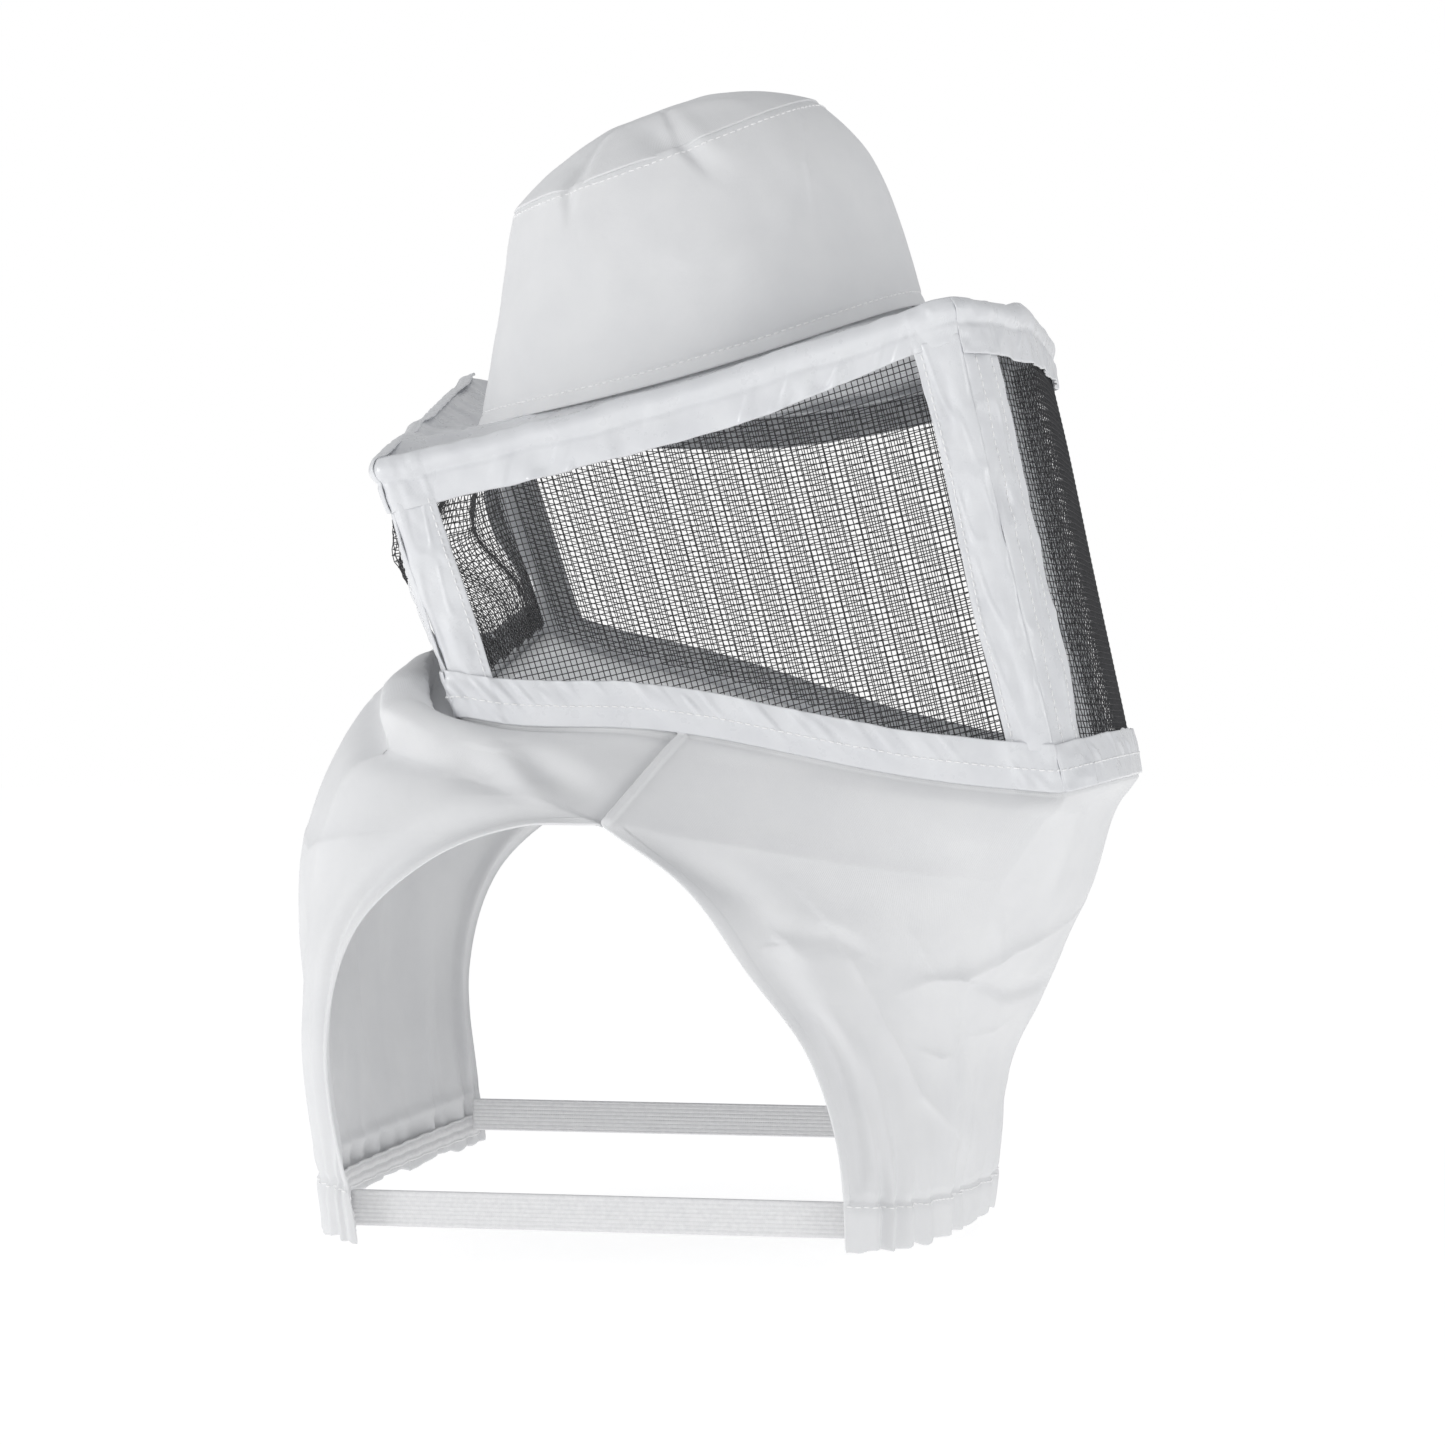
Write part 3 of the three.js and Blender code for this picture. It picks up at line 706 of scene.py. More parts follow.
def crown_folds(degrees, rise):
    """Dents and creases in the crown's wall: how far it stands out."""
    s, t = np.radians(degrees) * CROWN_RADIUS, rise * CROWN_WALL
    knots = lambda *line: [(math.radians(a) * CROWN_RADIUS, r * CROWN_WALL, h) for a, r, h in line]
    out = 1.5 * noise(s / 42, t / 36, 3) * smooth(rise / 0.3) + 0.5 * noise(s / 13, t / 17, 4) * smooth(rise / 0.5)
    # pinches where the tip's seam gathers the wall
    out += fold(s, t, knots((190, 1.05, -4.2), (193, 0.95, -3.6), (197, 0.8, -0.4)), 3.2, 6)
    out += fold(s, t, knots((199, 1.0, 1.6), (204, 0.85, 0.6)), 6, 6)
    out += fold(s, t, knots((145, 1.05, -3.4), (146, 0.93, -2.6), (148, 0.8, -0.3)), 3, 6)
    out += fold(s, t, knots((60, 1.05, -3.2), (58, 0.9, -2.0), (56, 0.76, 0)), 4, 6)
    out += fold(s, t, knots((345, 1.05, -3.0), (347, 0.88, -1.6), (350, 0.72, 0)), 4, 7)
    # long soft creases
    out += fold(s, t, knots((239, 0.95, 0.3), (226, 0.72, 1.3), (221, 0.4, 0.2)), 2.2, 9, crisp=True)
    out += fold(s, t, knots((168, 0.7, 0.0), (185, 0.45, 0.9), (205, 0.42, 0.0)), 4, 12)
    out += fold(s, t, knots((120, 0.55, 0.0), (135, 0.2, 1.0), (150, 0.12, 0.2)), 4, 10)
    out += fold(s, t, knots((20, 0.8, 0.2), (35, 0.45, 1.2), (30, 0.2, 0.2)), 3, 10)
    out += fold(s, t, knots((300, 0.9, 0.2), (315, 0.5, 1.1), (310, 0.25, 0.1)), 3, 9)
    return out


BASE_STITCH = 4.6  # from the crown's base up to its topstitch


def crown_surface(angle, rise):
    degrees = np.degrees(angle) % 360
    height = rise * CROWN_WALL
    out = crown_folds(degrees, rise)
    # the base flares and waves over the brim, and dips along its topstitch
    out += 1.4 * np.exp(-height / 5) + 0.7 * noise(degrees / 8, 0, 8) * np.exp(-np.maximum(height, 0) / 16)
    out -= 0.7 * np.exp(-(((height - BASE_STITCH) / 1.1) ** 2))
    out -= 1.3 * smooth((height - 95) / 3.5)  # turned in under the tip
    return crown_wall(angle, rise, -out)


def crown_half(name, node_name, start):
    shape = Shape()
    seam = 0.35 / CROWN_RADIUS
    angle = start + np.linspace(seam, np.pi - seam, 230)[:, None]
    rows = np.concatenate([np.linspace(-0.012, 0.12, 16), np.linspace(0.12, 0.9, 70)[1:],
                           np.linspace(0.9, 1, 14)[1:]])
    a, r = np.broadcast_arrays(angle, rows[None, :])
    grid = worn(crown_surface(a, r))
    add_cloth(shape, grid, COTTON)
    for height, seed in ((BASE_STITCH, 1), (CROWN_WALL - TIP_STITCH, 2)):
        k = np.full(len(angle), height / CROWN_WALL)
        line = worn(crown_surface(angle[:, 0], k))
        beside = np.broadcast_arrays(angle, k[:1] + np.array([[-0.01, 0, 0.01]]))
        normal = normals_of(worn(crown_surface(*beside)))
        normal = normal[:, 1]
        if (normal * points(line[:, 0], line[:, 1], 0)).sum() < 0:
            normal = -normal
        add_stitches(shape, line, normal, seed=seed)
    obj = shape.build(name, [COTTON_CLOTH, THREAD])
    return finish_piece(obj, None, [node_name])


def tip_surface(angle, share):
    """The crown's tip: a soft dome whose rim laps over the wall."""
    rim = crown_wall(angle, 1 + 0 * share, -0.2 - crown_folds(np.degrees(angle) % 360, 0.98 + 0 * share))
    centre = np.array([0, (TIP_BACK - TIP_FRONT) / 2, (CROWN_FRONT_HEIGHT + CROWN_BACK_HEIGHT) / 2])
    p = lerp(centre, rim, share[..., None])
    degrees = np.degrees(angle) % 360
    x, y = p[..., 0], p[..., 1]
    rise = TIP_RISE * (1 - share**2.3)
    knots = lambda *line: [(math.cos(math.radians(a)) * 70 * r, math.sin(math.radians(a)) * 76 * r - 9, h)
                           for a, r, h in line]
    rise += (1.6 * noise(x / 30, y / 30, 5) + 0.7 * noise(x / 12, y / 12, 6)) * (1 - share**4)
    rise += fold(x, y, knots((192, 1.0, -4.0), (186, 0.8, -3.2), (172, 0.55, -0.6)), 5, 9)
    rise += fold(x, y, knots((150, 0.98, -3.0), (146, 0.75, -2.6), (150, 0.5, -0.2)), 5, 8)
    rise += fold(x, y, knots((230, 0.9, 0.2), (215, 0.6, 1.8), (160, 0.5, 1.2), (120, 0.7, 0.1)), 6, 10)
    rise += fold(x, y, knots((20, 0.95, -2.2), (30, 0.5, -0.4)), 5, 8)
    rise += fold(x, y, knots((320, 0.95, -2.2), (310, 0.5, -0.3)), 5, 8)
    return points(p[..., 0], p[..., 1], p[..., 2] + rise)


def crown_tip():
    shape = Shape()
    angle = np.linspace(0, 2 * np.pi, 260, endpoint=False)[:, None]
    share = np.concatenate([np.linspace(0.004, 0.9, 60), np.linspace(0.9, 1.0, 14)[1:]])[None, :]
    a, s = np.broadcast_arrays(angle, share)
    grid = worn(tip_surface(a, s))
    add_cloth(shape, grid, COTTON, facing="up", ring=True)
    obj = shape.build("Crown_Tip", [COTTON_CLOTH])
    return finish_piece(obj, "crown_top", ["crown_tip"])


def sweatband():
    shape = Shape()
    angle = np.linspace(0, 2 * np.pi, 160, endpoint=False)[:, None]
    rise = np.linspace(0.03, 0.03 + 32 / CROWN_BACK_HEIGHT, 12)[None, :]
    a, r = np.broadcast_arrays(angle, rise)
    middle = np.sin(np.pi * (r - 0.03) / (32 / CROWN_BACK_HEIGHT))
    grid = worn(crown_wall(a, r, COTTON + 2 * GAP + 1.4 + 1.0 * middle + 0.3 * noise(np.degrees(a) / 12, 0, 9)))
    add_cloth(shape, grid, COTTON, ring=True)
    obj = shape.build("Sweatband", [COTTON_CLOTH])
    return finish_piece(obj, None, ["sweatband"])


right_half = crown_half("Crown_Side_Right", "crown_side_right", np.pi / 2)
left_half = crown_half("Crown_Side_Left", "crown_side_left", -np.pi / 2)
tip = crown_tip()
band = sweatband()

# ---- Veil: tapes, netting and brim ----


ROLL_OVER = 6.5  # the top tape folds this far over the brim
NARROWING = 5.5  # the right top tape is this much narrower at its front end


def edge_wave(run):
    """How far the veil's top edge stands above its even line."""
    start, _ = side_runs("front")
    bumped = np.exp(-(((run - start - 62) / 26) ** 2)) * 3.0
    return 0.9 * noise(run / 23, 0, 20) + 0.35 * noise(run / 7, 0, 21) + bumped


def tape_relief(run, h, width, seed, rolled):
    """How far a tape stands out, at a distance h from its free edge."""
    k = h / width
    out = GAP + TAPE + 0.55 * np.sin(np.pi * np.clip(k, 0, 1)) ** 0.7
    if rolled:
        out = out + 1.9 * np.exp(-(((h - 5.0) / 4.0) ** 2)) - 0.8 * np.exp(-((h / 1.5) ** 2))
        out = out - 0.7 * np.exp(-(((h - 10.5 - 0.8 * noise(run / 14, 0, seed + 5)) / 1.3) ** 2))
    out = out + 1.1 * noise(run / 9, h / 26, seed) * smooth(k + 0.15)
    pucker = np.maximum(noise((run + h * 0.6) / 4.6, h / 13, seed + 1) - 0.15, 0)
    out = out + 1.3 * pucker * smooth(k + 0.1) * (1 + noise(run / 37, 0, seed + 4))
    out = out + 0.9 * noise(run / 31, h / 40, seed + 2)
    near = corner_distance(run)
    crinkle = 0.6 * noise(run / 3.2, h / 4.5, seed + 3) * smooth((CORNER_TAPE + 4 - near) / 5)
    out = out + 0.9 * smooth((CORNER_TAPE + 1 - near) / 2.5) + crinkle
    return out


def tape_strip(name, node_name, start, end, width, relief, stitch_at):
    """A tape between two distances round the veil. relief gives its surface, from its upper edge down."""
    shape = Shape()
    count = max(int((end - start) / 0.9), 8)
    rows = max(int(width / 0.6), 8)
    run = np.linspace(start, end, count)[:, None]
    down = np.linspace(0, 1, rows)[None, :]
    grid = relief(run, down)
    add_cloth(shape, grid, 0.8)
    for share, seed in stitch_at:
        band = relief(run, share + np.array([[-0.02, 0, 0.02]]))
        normal = normals_of(band)[:, 1]
        line = band[:, 1]
        if (normal * points(line[:, 0], line[:, 1], 0)).sum() < 0:
            normal = -normal
        add_stitches(shape, line, normal, seed=seed)
    obj = shape.build(name, [COATED, THREAD])
    return finish_piece(obj, "hood", [node_name])


def add_tapes():
    for k, side in enumerate(SIDES):
        start, end = side_runs(side)
        seam = 0.02
        title = side.capitalize()

        def top(run, down, k=k):
            run, down = np.broadcast_arrays(run, down)
            h = lerp(-ROLL_OVER, TOP_TAPE - NARROWING * smooth((run - 150) / 110) * (k == 0), down)
            below, over = np.maximum(h, 0), np.maximum(-h, 0)
            out = tape_relief(run, below, TOP_TAPE, 30 + 7 * k, True) - 1.15 * over
            p = veil(run, below / height_at(run), out)
            lift = edge_wave(run) * (1 - below / TOP_TAPE) + 0.5 * noise(run / 11, 0, 25 + k) * down
            lift = lift + 1.0 * np.sin(np.pi / 2 * np.clip(over / 2.5, 0, 1)) - 0.12 * over
            return p + hat_up() * lift[..., None]

        def bottom(run, down, k=k):
            run, down = np.broadcast_arrays(run, down)
            h = (1 - down) * BOTTOM_TAPE
            out = tape_relief(run, h, BOTTOM_TAPE, 60 + 7 * k, False) + 0.5
            p = veil(run, 1 - h / height_at(run), out)
            return p + hat_up() * (0.5 * noise(run / 13, 0, 27 + k) * (1 - down))[..., None]

        tape_strip(f"Top_Tape_{title}", f"top_tape_{side}", start + seam, end - seam, TOP_TAPE, top,
                   [])
        tape_strip(f"Bottom_Tape_{title}", f"bottom_tape_{side}", start + seam, end - seam, BOTTOM_TAPE,
                   bottom, [(0.55, k)])

    for k, side in enumerate(SIDES):
        start, end = side_runs(side)
        before, after = ("back", "front") if side in ("right", "left") else ("right", "left")
        ends = [(start, start + CORNER_TAPE, before), (end - CORNER_TAPE, end, after)]
        if side in ("left", "back"):
            ends = [(start, start + CORNER_TAPE, after), (end - CORNER_TAPE, end, before)]
        for number, (low, high, neighbour) in enumerate(ends):
            corner_strip(side, neighbour, low, high, 90 + 11 * k + 5 * number, number == 0)


def corner_strip(side, neighbour, low, high, seed, corner_first):
    shape = Shape()
    run = np.linspace(low + 0.1, high - 0.1, 34)[:, None]
    down = np.linspace(0, 1, 190)[None, :]

    def surface(run, down):
        run, down = np.broadcast_arrays(run, down)
        height = height_at(run)
        first = TOP_TAPE - 3 - (NARROWING if (side, neighbour) == ("right", "front") else 0)
        h = lerp(first, height - BOTTOM_TAPE + 3, down)
        far = np.abs(run - (low if corner_first else high)) / CORNER_TAPE
        out = GAP + TAPE - 0.5 + 0.7 * np.sin(np.pi * np.clip(far, 0, 1)) ** 0.8
        out = out + 1.0 * noise(far * 2.2 + h / 90, h / 46, seed) + 0.8 * noise(far * 3.6 - h / 50, h / 21, seed + 1)
        crease = np.abs(noise(far * 3 + h / 70, h / 30, seed + 2))
        out = out + 0.6 * np.exp(-((crease / 0.2) ** 2)) + 0.3 * noise(far * 6, h / 7, seed + 4)
        wander = 1.1 * noise(h / 33, 0, seed + 3) * far
        return veil(run + np.where(corner_first, 1, -1) * wander, h / height, out)

    add_cloth(shape, surface(run, down), 0.8)
    for share in (0.3, 0.72) if side in ("front", "back") else (0.86,):
        at = low + share * CORNER_TAPE if corner_first else high - share * CORNER_TAPE
        band = surface(at + np.array([[-0.4], [0], [0.4]]), down)
        normal = normals_of(band)[1]
        if (normal * points(band[1][:, 0], band[1][:, 1], 0)).sum() < 0:
            normal = -normal
        add_stitches(shape, band[1], normal, seed=seed)
    title = f"Corner_Tape_{side.capitalize()}_By_{neighbour.capitalize()}"
    obj = shape.build(title, [COATED, THREAD])
    length = float(height_at(np.array([(low + high) / 2]))[0]) - TOP_TAPE - BOTTOM_TAPE + 6
    finish_piece(obj, "hood", [f"corner_tape_{side}_by_{neighbour}"])


NET_PITCH, NET_RADIUS, NET_WEAVE = 2.7, 0.27, 0.2


def net_crumple(side, run, h, height):
    """How far the netting stands off its wall."""
    start, end = side_runs(side)
    s = run - start
    out = 0.8 * noise(s / 60, h / 60, 11) + 0 * run
    if side == "back":
        edge = smooth(s / 20) * smooth((end - start - s) / 20) * np.sin(np.pi * np.clip(h / height, 0, 1))
        out = out + edge * 3 * noise(s / 34, h / 28, 12)
        out = out + edge * fold(s, h, [(240, 30, -13), (230, 62, -22), (238, 100, -10)], 8, 15)
        out = out + fold(s, h, [(264, 22, 2), (259, 46, 9), (264, 66, 1)], 7, 6)
        out = out + edge * fold(s, h, [(170, 20, 3), (150, 60, 7), (175, 100, 2)], 14, 20)
        out = out + edge * fold(s, h, [(60, 30, -3), (72, 60, -8), (60, 100, -3)], 14, 20)
    return out


def add_netting(side):
    shape = Shape()
    start, end = side_runs(side)
    margin = CORNER_TAPE - TAPE_LAP
    columns = np.arange(start + margin, end - margin, NET_PITCH)
    tallest = float(height_at(np.array([start + 1, end - 1])).max())
    rows = np.arange(TOP_TAPE - TAPE_LAP, tallest - BOTTOM_TAPE + TAPE_LAP, NET_PITCH)
    run, h = np.meshgrid(columns, rows, indexing="ij")
    height = height_at(run)
    kept = h <= height - BOTTOM_TAPE + TAPE_LAP
    out = net_crumple(side, run, h, height) - 0.9
    centre = veil(run, h / height, out)
    across = np.gradient(centre, axis=0)
    across /= np.linalg.norm(across, axis=-1, keepdims=True)
    down = np.gradient(centre, axis=1)
    down /= np.linalg.norm(down, axis=-1, keepdims=True)
    normal = np.cross(down, across)
    normal /= np.linalg.norm(normal, axis=-1, keepdims=True)
    n, m = run.shape
    odd = ((np.arange(n)[:, None] + np.arange(m)[None, :]) % 2 * 2 - 1)[..., None] * NET_WEAVE
    turns = np.radians([90, 210, 330])
    index = np.arange(n * m * 3).reshape(n, m, 3)
    for axis, level, sideways in ((0, odd, down), (1, -odd, across)):
        ring = [centre + normal * (level + NET_RADIUS * math.sin(t)) + sideways * NET_RADIUS * math.cos(t)
                for t in turns]
        p = np.stack(ring, 2).reshape(-1, 3)
        if axis == 0:
            use = kept[:-1] & kept[1:]
            a, b = index[:-1][use], index[1:][use]
        else:
            use = kept[:, :-1] & kept[:, 1:]
            a, b = index[:, :-1][use], index[:, 1:][use]
        quads = np.stack([a, np.roll(a, -1, 1), np.roll(b, -1, 1), b], -1).reshape(-1, 4)
        if axis == 0:
            quads = quads[:, ::-1]
        used, quads = np.unique(quads, return_inverse=True)
        shape.add(p[used], [quads.reshape(-1, 4)])
    title = f"Netting_{side.capitalize()}"
    obj = shape.build(title, [NETTING])
    finish_piece(obj, "hood", [f"mesh_{side}"])


def brim_surface(run, share):
    run, share = np.broadcast_arrays(np.asarray(run, float), np.asarray(share, float))
    rim = soft_wall(run, 0 * run)
    rim = points(rim[..., 0], rim[..., 1], rim[..., 2] + edge_wave(run))
    angle = np.arctan2(rim[..., 1] / HEAD_LENGTH, rim[..., 0] / HEAD_WIDTH)
    root = crown_wall(angle, 0 * angle, 3.4)
    p = lerp(root, rim, share[..., None])
    # the back and the left puff up, and the right side hangs slack below the crown's base
    raised = smooth((rim[..., 1] + 20) / 120) * smooth((rim[..., 0] + HALF_WIDTH + 12) / 60)
    puff = lerp(0.2, 2.6, raised) * np.exp(-(((share - 0.9) / 0.09) ** 2))
    puff = puff - lerp(6.5, 2.0, raised) * np.sin(np.pi * np.clip(share, 0, 1)) ** 0.8 - 0.8 * (1 - share)
    crumple = 2.4 * noise(run / 27, share * 2.4, 14) + 1.1 * noise(run / 11 + share, share * 4, 15)
    puff = puff + crumple * lerp(0.5, 1.3, raised) * np.sin(np.pi * np.clip(share, 0, 1))
    return worn(points(p[..., 0], p[..., 1], p[..., 2] + puff))


def add_brim():
    shape = Shape()
    run = np.linspace(0, ROUND[-1], 560, endpoint=False)[:, None]
    share = np.linspace(0, 0.995, 34)[None, :]
    add_cloth(shape, brim_surface(run, share), 0.9, facing="up", ring=True)
    obj = shape.build("Brim", [COATED])
    finish_piece(obj, "hood", ["brim"])


add_tapes()
for side_name in SIDES:
    add_netting(side_name)
add_brim()

# ---- Bib ----

PANEL_WIDTH, PANEL_DROP = 170.0, 262.0  # turn across and v into distances for the folds
HEM_BAND = 20.0
TURNED_EDGE = 4.5


def flat_size(surface):
    """A panel's cut size before its folds: its widest row, its longest column and its area."""
    across, v = np.meshgrid(np.linspace(-1, 1, 401), np.linspace(0, 1, 301), indexing="ij")
    grid = surface(across, v)
    rows, columns = np.diff(grid, axis=0), np.diff(grid, axis=1)
    area = np.linalg.norm(np.cross(rows[:, :-1], columns[:-1]), axis=2).sum()
    length = lambda steps, axis: float(np.linalg.norm(steps, axis=2).sum(axis).max())
    return round(length(rows, 0)), round(length(columns, 1)), float(area)


def front_folds(across, v):
    s, t = across * PANEL_WIDTH, v * PANEL_DROP
    knots = lambda *line: [(a * PANEL_WIDTH, b * PANEL_DROP, h) for a, b, h in line]
    ridge = lambda line, near, far, crisp=True: fold(s, t, knots(*line), near, far, crisp)
    out = 2.0 * noise(s / 55, t / 60, 41) + 0.7 * noise(s / 19, t / 24, 42)
    out += ridge([(-0.49, 0.01, 0.8), (-0.5, 0.13, 1.8), (-0.5, 0.27, 0.1)], 3, 10)
    out += ridge([(-0.45, 0.0, 3.0), (-0.38, 0.08, 3.6), (-0.35, 0.18, 2.6), (-0.28, 0.32, 0.3)], 7, 5, False)
    # the main crease across the chest, with shorter ones that run into it
    out += ridge([(-0.12, 0.33, 1.2), (-0.36, 0.39, 3.8), (-0.48, 0.46, 4.6), (-0.56, 0.48, 3.0),
                  (-0.64, 0.53, 0.2)], 16, 3.0)
    out += ridge([(-0.445, 0.29, 0.2), (-0.42, 0.35, 2.2), (-0.4, 0.41, 1.0)], 2.2, 5)
    out += ridge([(-0.6, 0.36, 0.2), (-0.57, 0.42, 1.8), (-0.53, 0.475, 0.8)], 5, 2.2)
    out += ridge([(-0.43, 0.47, -1.4), (-0.29, 0.5, -4.2), (-0.12, 0.485, -3.2), (0.0, 0.47, 0)], 8, 4, False)
    out += ridge([(-0.48, 0.46, 1.6), (-0.46, 0.58, 2.6), (-0.44, 0.7, 3.0), (-0.445, 0.85, 0.3)], 9, 2.6)
    out += ridge([(-0.745, 0.42, 1.6), (-0.69, 0.6, 3.0), (-0.59, 0.735, 3.2), (-0.465, 0.79, 1.0)], 14, 3.2)
    out += ridge([(-0.88, 0.49, 3.0), (-0.875, 0.58, 3.4), (-0.81, 0.68, 2.4), (-0.7, 0.81, 0.2)], 10, 9, False)
    out += ridge([(-0.86, 0.455, 2.6), (-0.75, 0.42, -4.2), (-0.7, 0.45, -1.0)], 5, 8, False)
    out += ridge([(-0.59, 0.64, 0.2), (-0.5, 0.655, 1.8), (-0.45, 0.65, 0.2)], 2.6, 6)
    out += ridge([(-0.2, 0.55, 0.1), (-0.3, 0.585, 1.2), (-0.42, 0.6, 0.2)], 5, 2.4)
    # the wearer's left is creased like the right, a little differently
    out += ridge([(0.47, 0.0, 3.0), (0.42, 0.15, 2.8), (0.3, 0.32, 0.2)], 6, 6, False)
    out += ridge([(0.1, 0.42, 0.4), (0.38, 0.41, 3.8), (0.56, 0.48, 2.4), (0.7, 0.55, 0.1)], 3.2, 14)
    out += ridge([(0.46, 0.45, 1.2), (0.44, 0.62, 2.6), (0.48, 0.85, 0.2)], 3, 10)
    out += ridge([(0.8, 0.45, 2.4), (0.72, 0.62, 2.8), (0.55, 0.8, 0.4)], 5, 11, False)
    out += ridge([(-0.05, 0.55, 0.2), (-0.02, 0.72, 2.2), (-0.1, 0.9, 0.3)], 6, 8, False)
    return out


def back_folds(across, v):
    s, t = across * PANEL_WIDTH, v * PANEL_DROP
    knots = lambda *line: [(a * PANEL_WIDTH, b * PANEL_DROP, h) for a, b, h in line]
    ridge = lambda line, near, far, crisp=False: fold(s, t, knots(*line), near, far, crisp)
    out = 2.2 * noise(s / 60, t / 60, 51) + 0.7 * noise(s / 21, t / 26, 52)
    # a slack roll behind the collar, with a lip over a hollow
    out += ridge([(-0.06, 0.09, 2), (-0.32, 0.115, 6), (-0.5, 0.13, 11), (-0.6, 0.135, 9), (-0.68, 0.13, 1)], 7, 16)
    out += ridge([(-0.3, 0.2, -1), (-0.5, 0.185, -6), (-0.62, 0.185, -7), (-0.72, 0.18, -1)], 13, 6)
    out += ridge([(-0.69, 0.14, -0.6), (-0.77, 0.17, -4.4), (-0.85, 0.21, -0.8)], 9, 6)
    out += ridge([(-0.78, 0.1, -0.8), (-0.87, 0.13, -4.6), (-0.96, 0.15, -2.0)], 8, 6)
    out += ridge([(-0.74, 0.1, 0.4), (-0.82, 0.15, 2.6), (-0.92, 0.2, 0.4)], 5, 5)
    out += ridge([(0.2, 0.12, 1), (0.45, 0.13, 6), (0.65, 0.15, 1)], 14, 7)
    out += ridge([(0.5, 0.2, -1), (0.7, 0.19, -4), (0.85, 0.2, 0)], 6, 12)
    # soft upright folds between the shoulder blades, gathered at the hem
    out += ridge([(-0.42, 0.3, 0.3), (-0.3, 0.6, 4.4), (-0.34, 0.88, 2.0)], 12, 18)
    out += ridge([(-0.12, 0.25, 0.2), (-0.05, 0.55, 3.4), (-0.1, 0.9, 2.2)], 5, 18, True)
    out += ridge([(0.18, 0.2, 0.3), (0.14, 0.55, 4.2), (0.2, 0.9, 2.2)], 14, 6, True)
    out += ridge([(0.5, 0.28, 0.2), (0.4, 0.6, 4.6), (0.42, 0.88, 1.6)], 14, 16)
    out += ridge([(0.3, 0.36, 0.2), (0.5, 0.42, 2.6), (0.72, 0.4, 0.4)], 4, 14, True)
    out += ridge([(-0.3, 0.42, 0.2), (-0.5, 0.45, 2.4), (-0.7, 0.4, 0.4)], 14, 4, True)
    out += ridge([(0.6, 0.14, 0.4), (0.78, 0.17, -3.6), (0.93, 0.19, -1.0)], 9, 6)
    out += ridge([(0.62, 0.55, 0.2), (0.7, 0.75, 2.8), (0.66, 0.93, 1.6)], 8, 12)
    out += ridge([(-0.62, 0.5, 0.2), (-0.68, 0.72, 2.2), (-0.64, 0.93, 1.4)], 12, 8)
    return out


def gathers(across, v, seed):
    """The hem's gathers, drawn in by its elastic."""
    s, up = across * PANEL_WIDTH, (1 - v) * PANEL_DROP
    reach = np.exp(-np.maximum(up - HEM_BAND, 0) / 26) * smooth((1 - np.abs(across)) / 0.16 + 0.15)
    wave = np.sin(s / 3.1 + 2.4 * noise(s / 24, 0, seed)) * (0.6 + 0.4 * noise(s / 17, 3, seed + 1))
    return 2.3 * wave * reach - 1.4 * np.exp(-(((up - HEM_BAND) / 3) ** 2)) * np.exp(-np.abs(up - HEM_BAND) / 30)


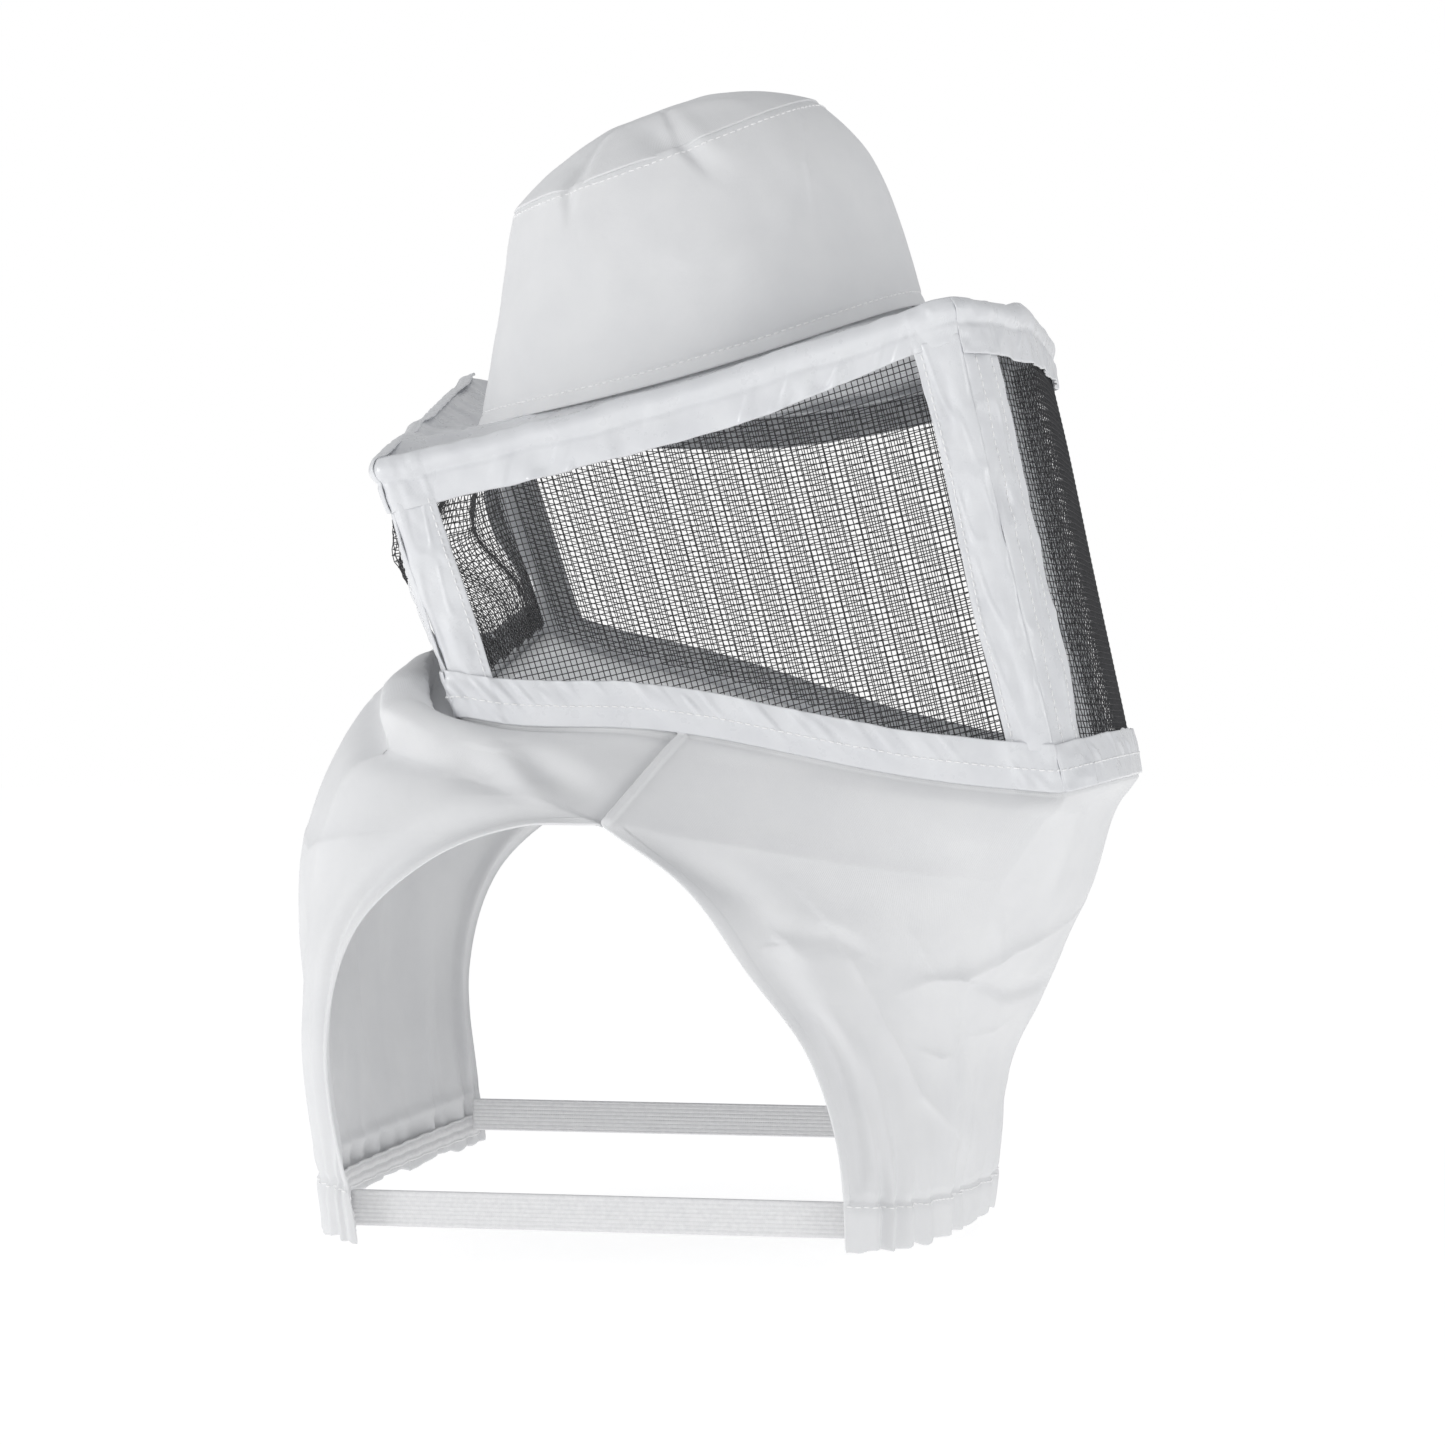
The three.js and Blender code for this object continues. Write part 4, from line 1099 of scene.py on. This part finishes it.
def bib_piece(panel, folds, seed):
    shape = Shape()
    surface = bib_surface(panel)
    half = np.concatenate([np.linspace(0, 0.93, 128), np.linspace(0.93, 1, 30)[1:]])
    across = np.concatenate([-half[::-1], half[1:]])
    rows = np.concatenate([[-0.02, -0.01], np.linspace(0, 0.9, 196), np.linspace(0.9, 1.0, 30)[1:]])
    a, v = np.meshgrid(across, rows, indexing="ij")

    def sheet_at(a, v, lift=0.0):
        tucked = np.maximum(-v, 0) * PANEL_DROP  # the seam's allowance, up behind the tape
        v = np.clip(v, 0, 1)
        base = surface(a, v)
        ea = np.clip(a + 0.008, -1, 1), np.clip(a - 0.008, -1, 1)
        ev = np.clip(v + 0.008, 0, 1), np.clip(v - 0.008, 0, 1)
        normal = np.cross(surface(ea[0], v) - surface(ea[1], v), surface(a, ev[0]) - surface(a, ev[1]))
        normal /= np.maximum(np.linalg.norm(normal, axis=-1, keepdims=True), 1e-9)
        normal *= np.sign((normal[..., :2] * base[..., :2]).sum(-1, keepdims=True))
        inward = (1 - np.abs(a)) * PANEL_WIDTH
        seamed = smooth((surface.shoulder + 0.004 - v) / 0.012)
        hold = smooth(v / 0.05) * lerp(smooth(inward / 14), 1, 0.25)
        out = COTTON + folds(a, v) * hold + gathers(a, v, seed)
        edge = smooth((TURNED_EDGE + 0.8 - inward) / 0.8) * (1 - seamed)
        band = smooth((HEM_BAND - (1 - v) * PANEL_DROP) / 0.8)
        out = out + 0.6 * np.maximum(edge, band)
        if panel == "front":  # its shoulder edge laps over the back's
            out = out + seamed * (1.4 * smooth((2.6 - inward) / 1.0) + 0.9 * np.exp(-inward / 9))
        else:
            out = out - seamed * 3.0 * np.exp(-inward / 8)
        # the armhole's edge turns out a little, with a soft hollow inside it
        free = smooth((v - 0.2) / 0.15) * smooth((0.95 - v) / 0.1)
        out = out + free * (3.4 * np.exp(-((inward / 5.5) ** 2)) - 4.6 * np.exp(-(((inward - 17) / 10) ** 2)))
        out = out - 1.6 * np.exp(-(v * PANEL_DROP) / 5) + lift
        ripple = 1.5 * noise(a * PANEL_WIDTH / 10, 0, seed + 7) * smooth((v - 0.9) / 0.1) * smooth(inward / 25)
        return base + normal * out[..., None] + hat_up() * tucked[..., None] + points(0, 0, ripple)

    grid = sheet_at(a, v)
    normal = add_cloth(shape, grid, COTTON, size=(2 * PANEL_WIDTH, PANEL_DROP))
    line_a, line_v = a[2:-2, 0], np.full(len(across) - 4, 1 - (HEM_BAND - 1.8) / PANEL_DROP)
    band = np.stack([sheet_at(line_a, line_v + d) for d in (-0.006, 0, 0.006)], 1)
    n = normals_of(band)[:, 1]
    n *= np.sign((n[:, :2] * band[:, 1, :2]).sum(-1, keepdims=True))
    add_stitches(shape, band[:, 1], n, seed=seed)
    obj = shape.build(f"Bib_{panel.capitalize()}", [COTTON_CLOTH, THREAD])
    lower = f"{panel}_panel"
    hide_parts(f"bib_{panel}", lower)
    width, drop, area = flat_size(bib_surface(panel))
    return obj


for panel_name, folds_of, first_seed in (("front", front_folds, 70), ("back", back_folds, 80)):
    bib = bib_piece(panel_name, folds_of, first_seed)
    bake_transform(bib)

# ---- Elastics ----


ELASTIC_WIDTH = 15.0
ELASTIC_INSET = 8.4  # from the bib's surface in to the elastic
ELASTIC_AT = 1 - 11 / 250  # share of the panel's drop where the elastic is sewn on


def side_elastic(side, sign):
    shift = np.array([-sign * ELASTIC_INSET, 0, 0])
    start, end = (bib_surface(panel)(sign * 0.96, ELASTIC_AT) + shift for panel in ("front", "back"))
    count, ribs = 120, 57
    t = np.linspace(0, 1, count)[:, None]
    k = np.linspace(0, 1, ribs)[None, :]
    base = lerp(start, end, t[..., None]) + points(0, 0, ELASTIC_WIDTH * (0.5 - k))
    height = 0.13 - 0.13 * np.cos(2 * np.pi * k * 8) + 0 * t
    grid = base + points(sign * (0.5 + height), 0, 0)
    shape = Shape()
    add_cloth(shape, grid, 1.4)
    obj = shape.build(f"Side_Elastic_{side.capitalize()}", [RIBBED])
    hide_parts(f"side_elastic_{side}", f"elastic_tab_{side}")
    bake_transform(obj)


def hem_elastic(panel):
    surface = bib_surface(panel)
    shape = Shape()
    a = np.linspace(-0.956, 0.956, 200)[:, None]
    v = np.linspace(0.955, 0.955 + 8 / 250, 16)[None, :]
    a, v = np.broadcast_arrays(a, v)
    base = surface(a, v)
    out = -1.2 + 0.25 * np.sin((v - 0.955) * 250 * np.pi / 1.6) + 0.5 * np.sin(a * 55)
    add_cloth(shape, base + points(base[..., 0], base[..., 1], 0) * (out / 150)[..., None], 1.0)
    obj = shape.build(f"Hem_Elastic_{panel.capitalize()}", [RIBBED])
    finish_piece(obj, f"{panel}_drape", [f"hem_elastic_{panel}"])


for side_name, side_sign in (("right", -1), ("left", 1)):
    side_elastic(side_name, side_sign)
for panel_name in ("front", "back"):
    hem_elastic(panel_name)


WIRE_RADIUS, WIRE_DROP, WIRE_INSET = 1.2, 8.2, 2.8  # as in the CAD: from the veil's top edge and wall


def brim_wire():
    run = np.linspace(2, ROUND[-1] - 2, 400)
    p = veil(run, WIRE_DROP / height_at(run), np.full(run.shape, -WIRE_INSET))
    curve = bpy.data.curves.new("Brim_Wire", "CURVE")
    curve.dimensions = "3D"
    spline = curve.splines.new("POLY")
    spline.points.add(len(p) - 1)
    spline.points.foreach_set("co", np.concatenate([p * MM, np.ones((len(p), 1))], 1).ravel())
    curve.bevel_depth = WIRE_RADIUS * MM
    curve.bevel_resolution = 3
    curve.use_fill_caps = True
    curve.materials.append(WIRE)
    obj = bpy.data.objects.new("Brim_Wire", curve)
    bpy.context.scene.collection.objects.link(obj)
    finish_piece(obj, "hood", ["brim_wire"])


brim_wire()

# A press of the crown keeps its foot on the brim and takes its top down with the tip. Here its heights are only
# turned into points that are not used, and the crown's halves and the sweatband get their transforms baked.
PRESS_FROM, PRESS_TO = -3.0, 88.0  # heights above the head opening
for piece in (right_half, left_half, band):
    tuple(float(c) * MM for c in hat_up(PRESS_FROM))
    tuple(float(c) * MM for c in hat_up(PRESS_TO))
    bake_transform(piece)
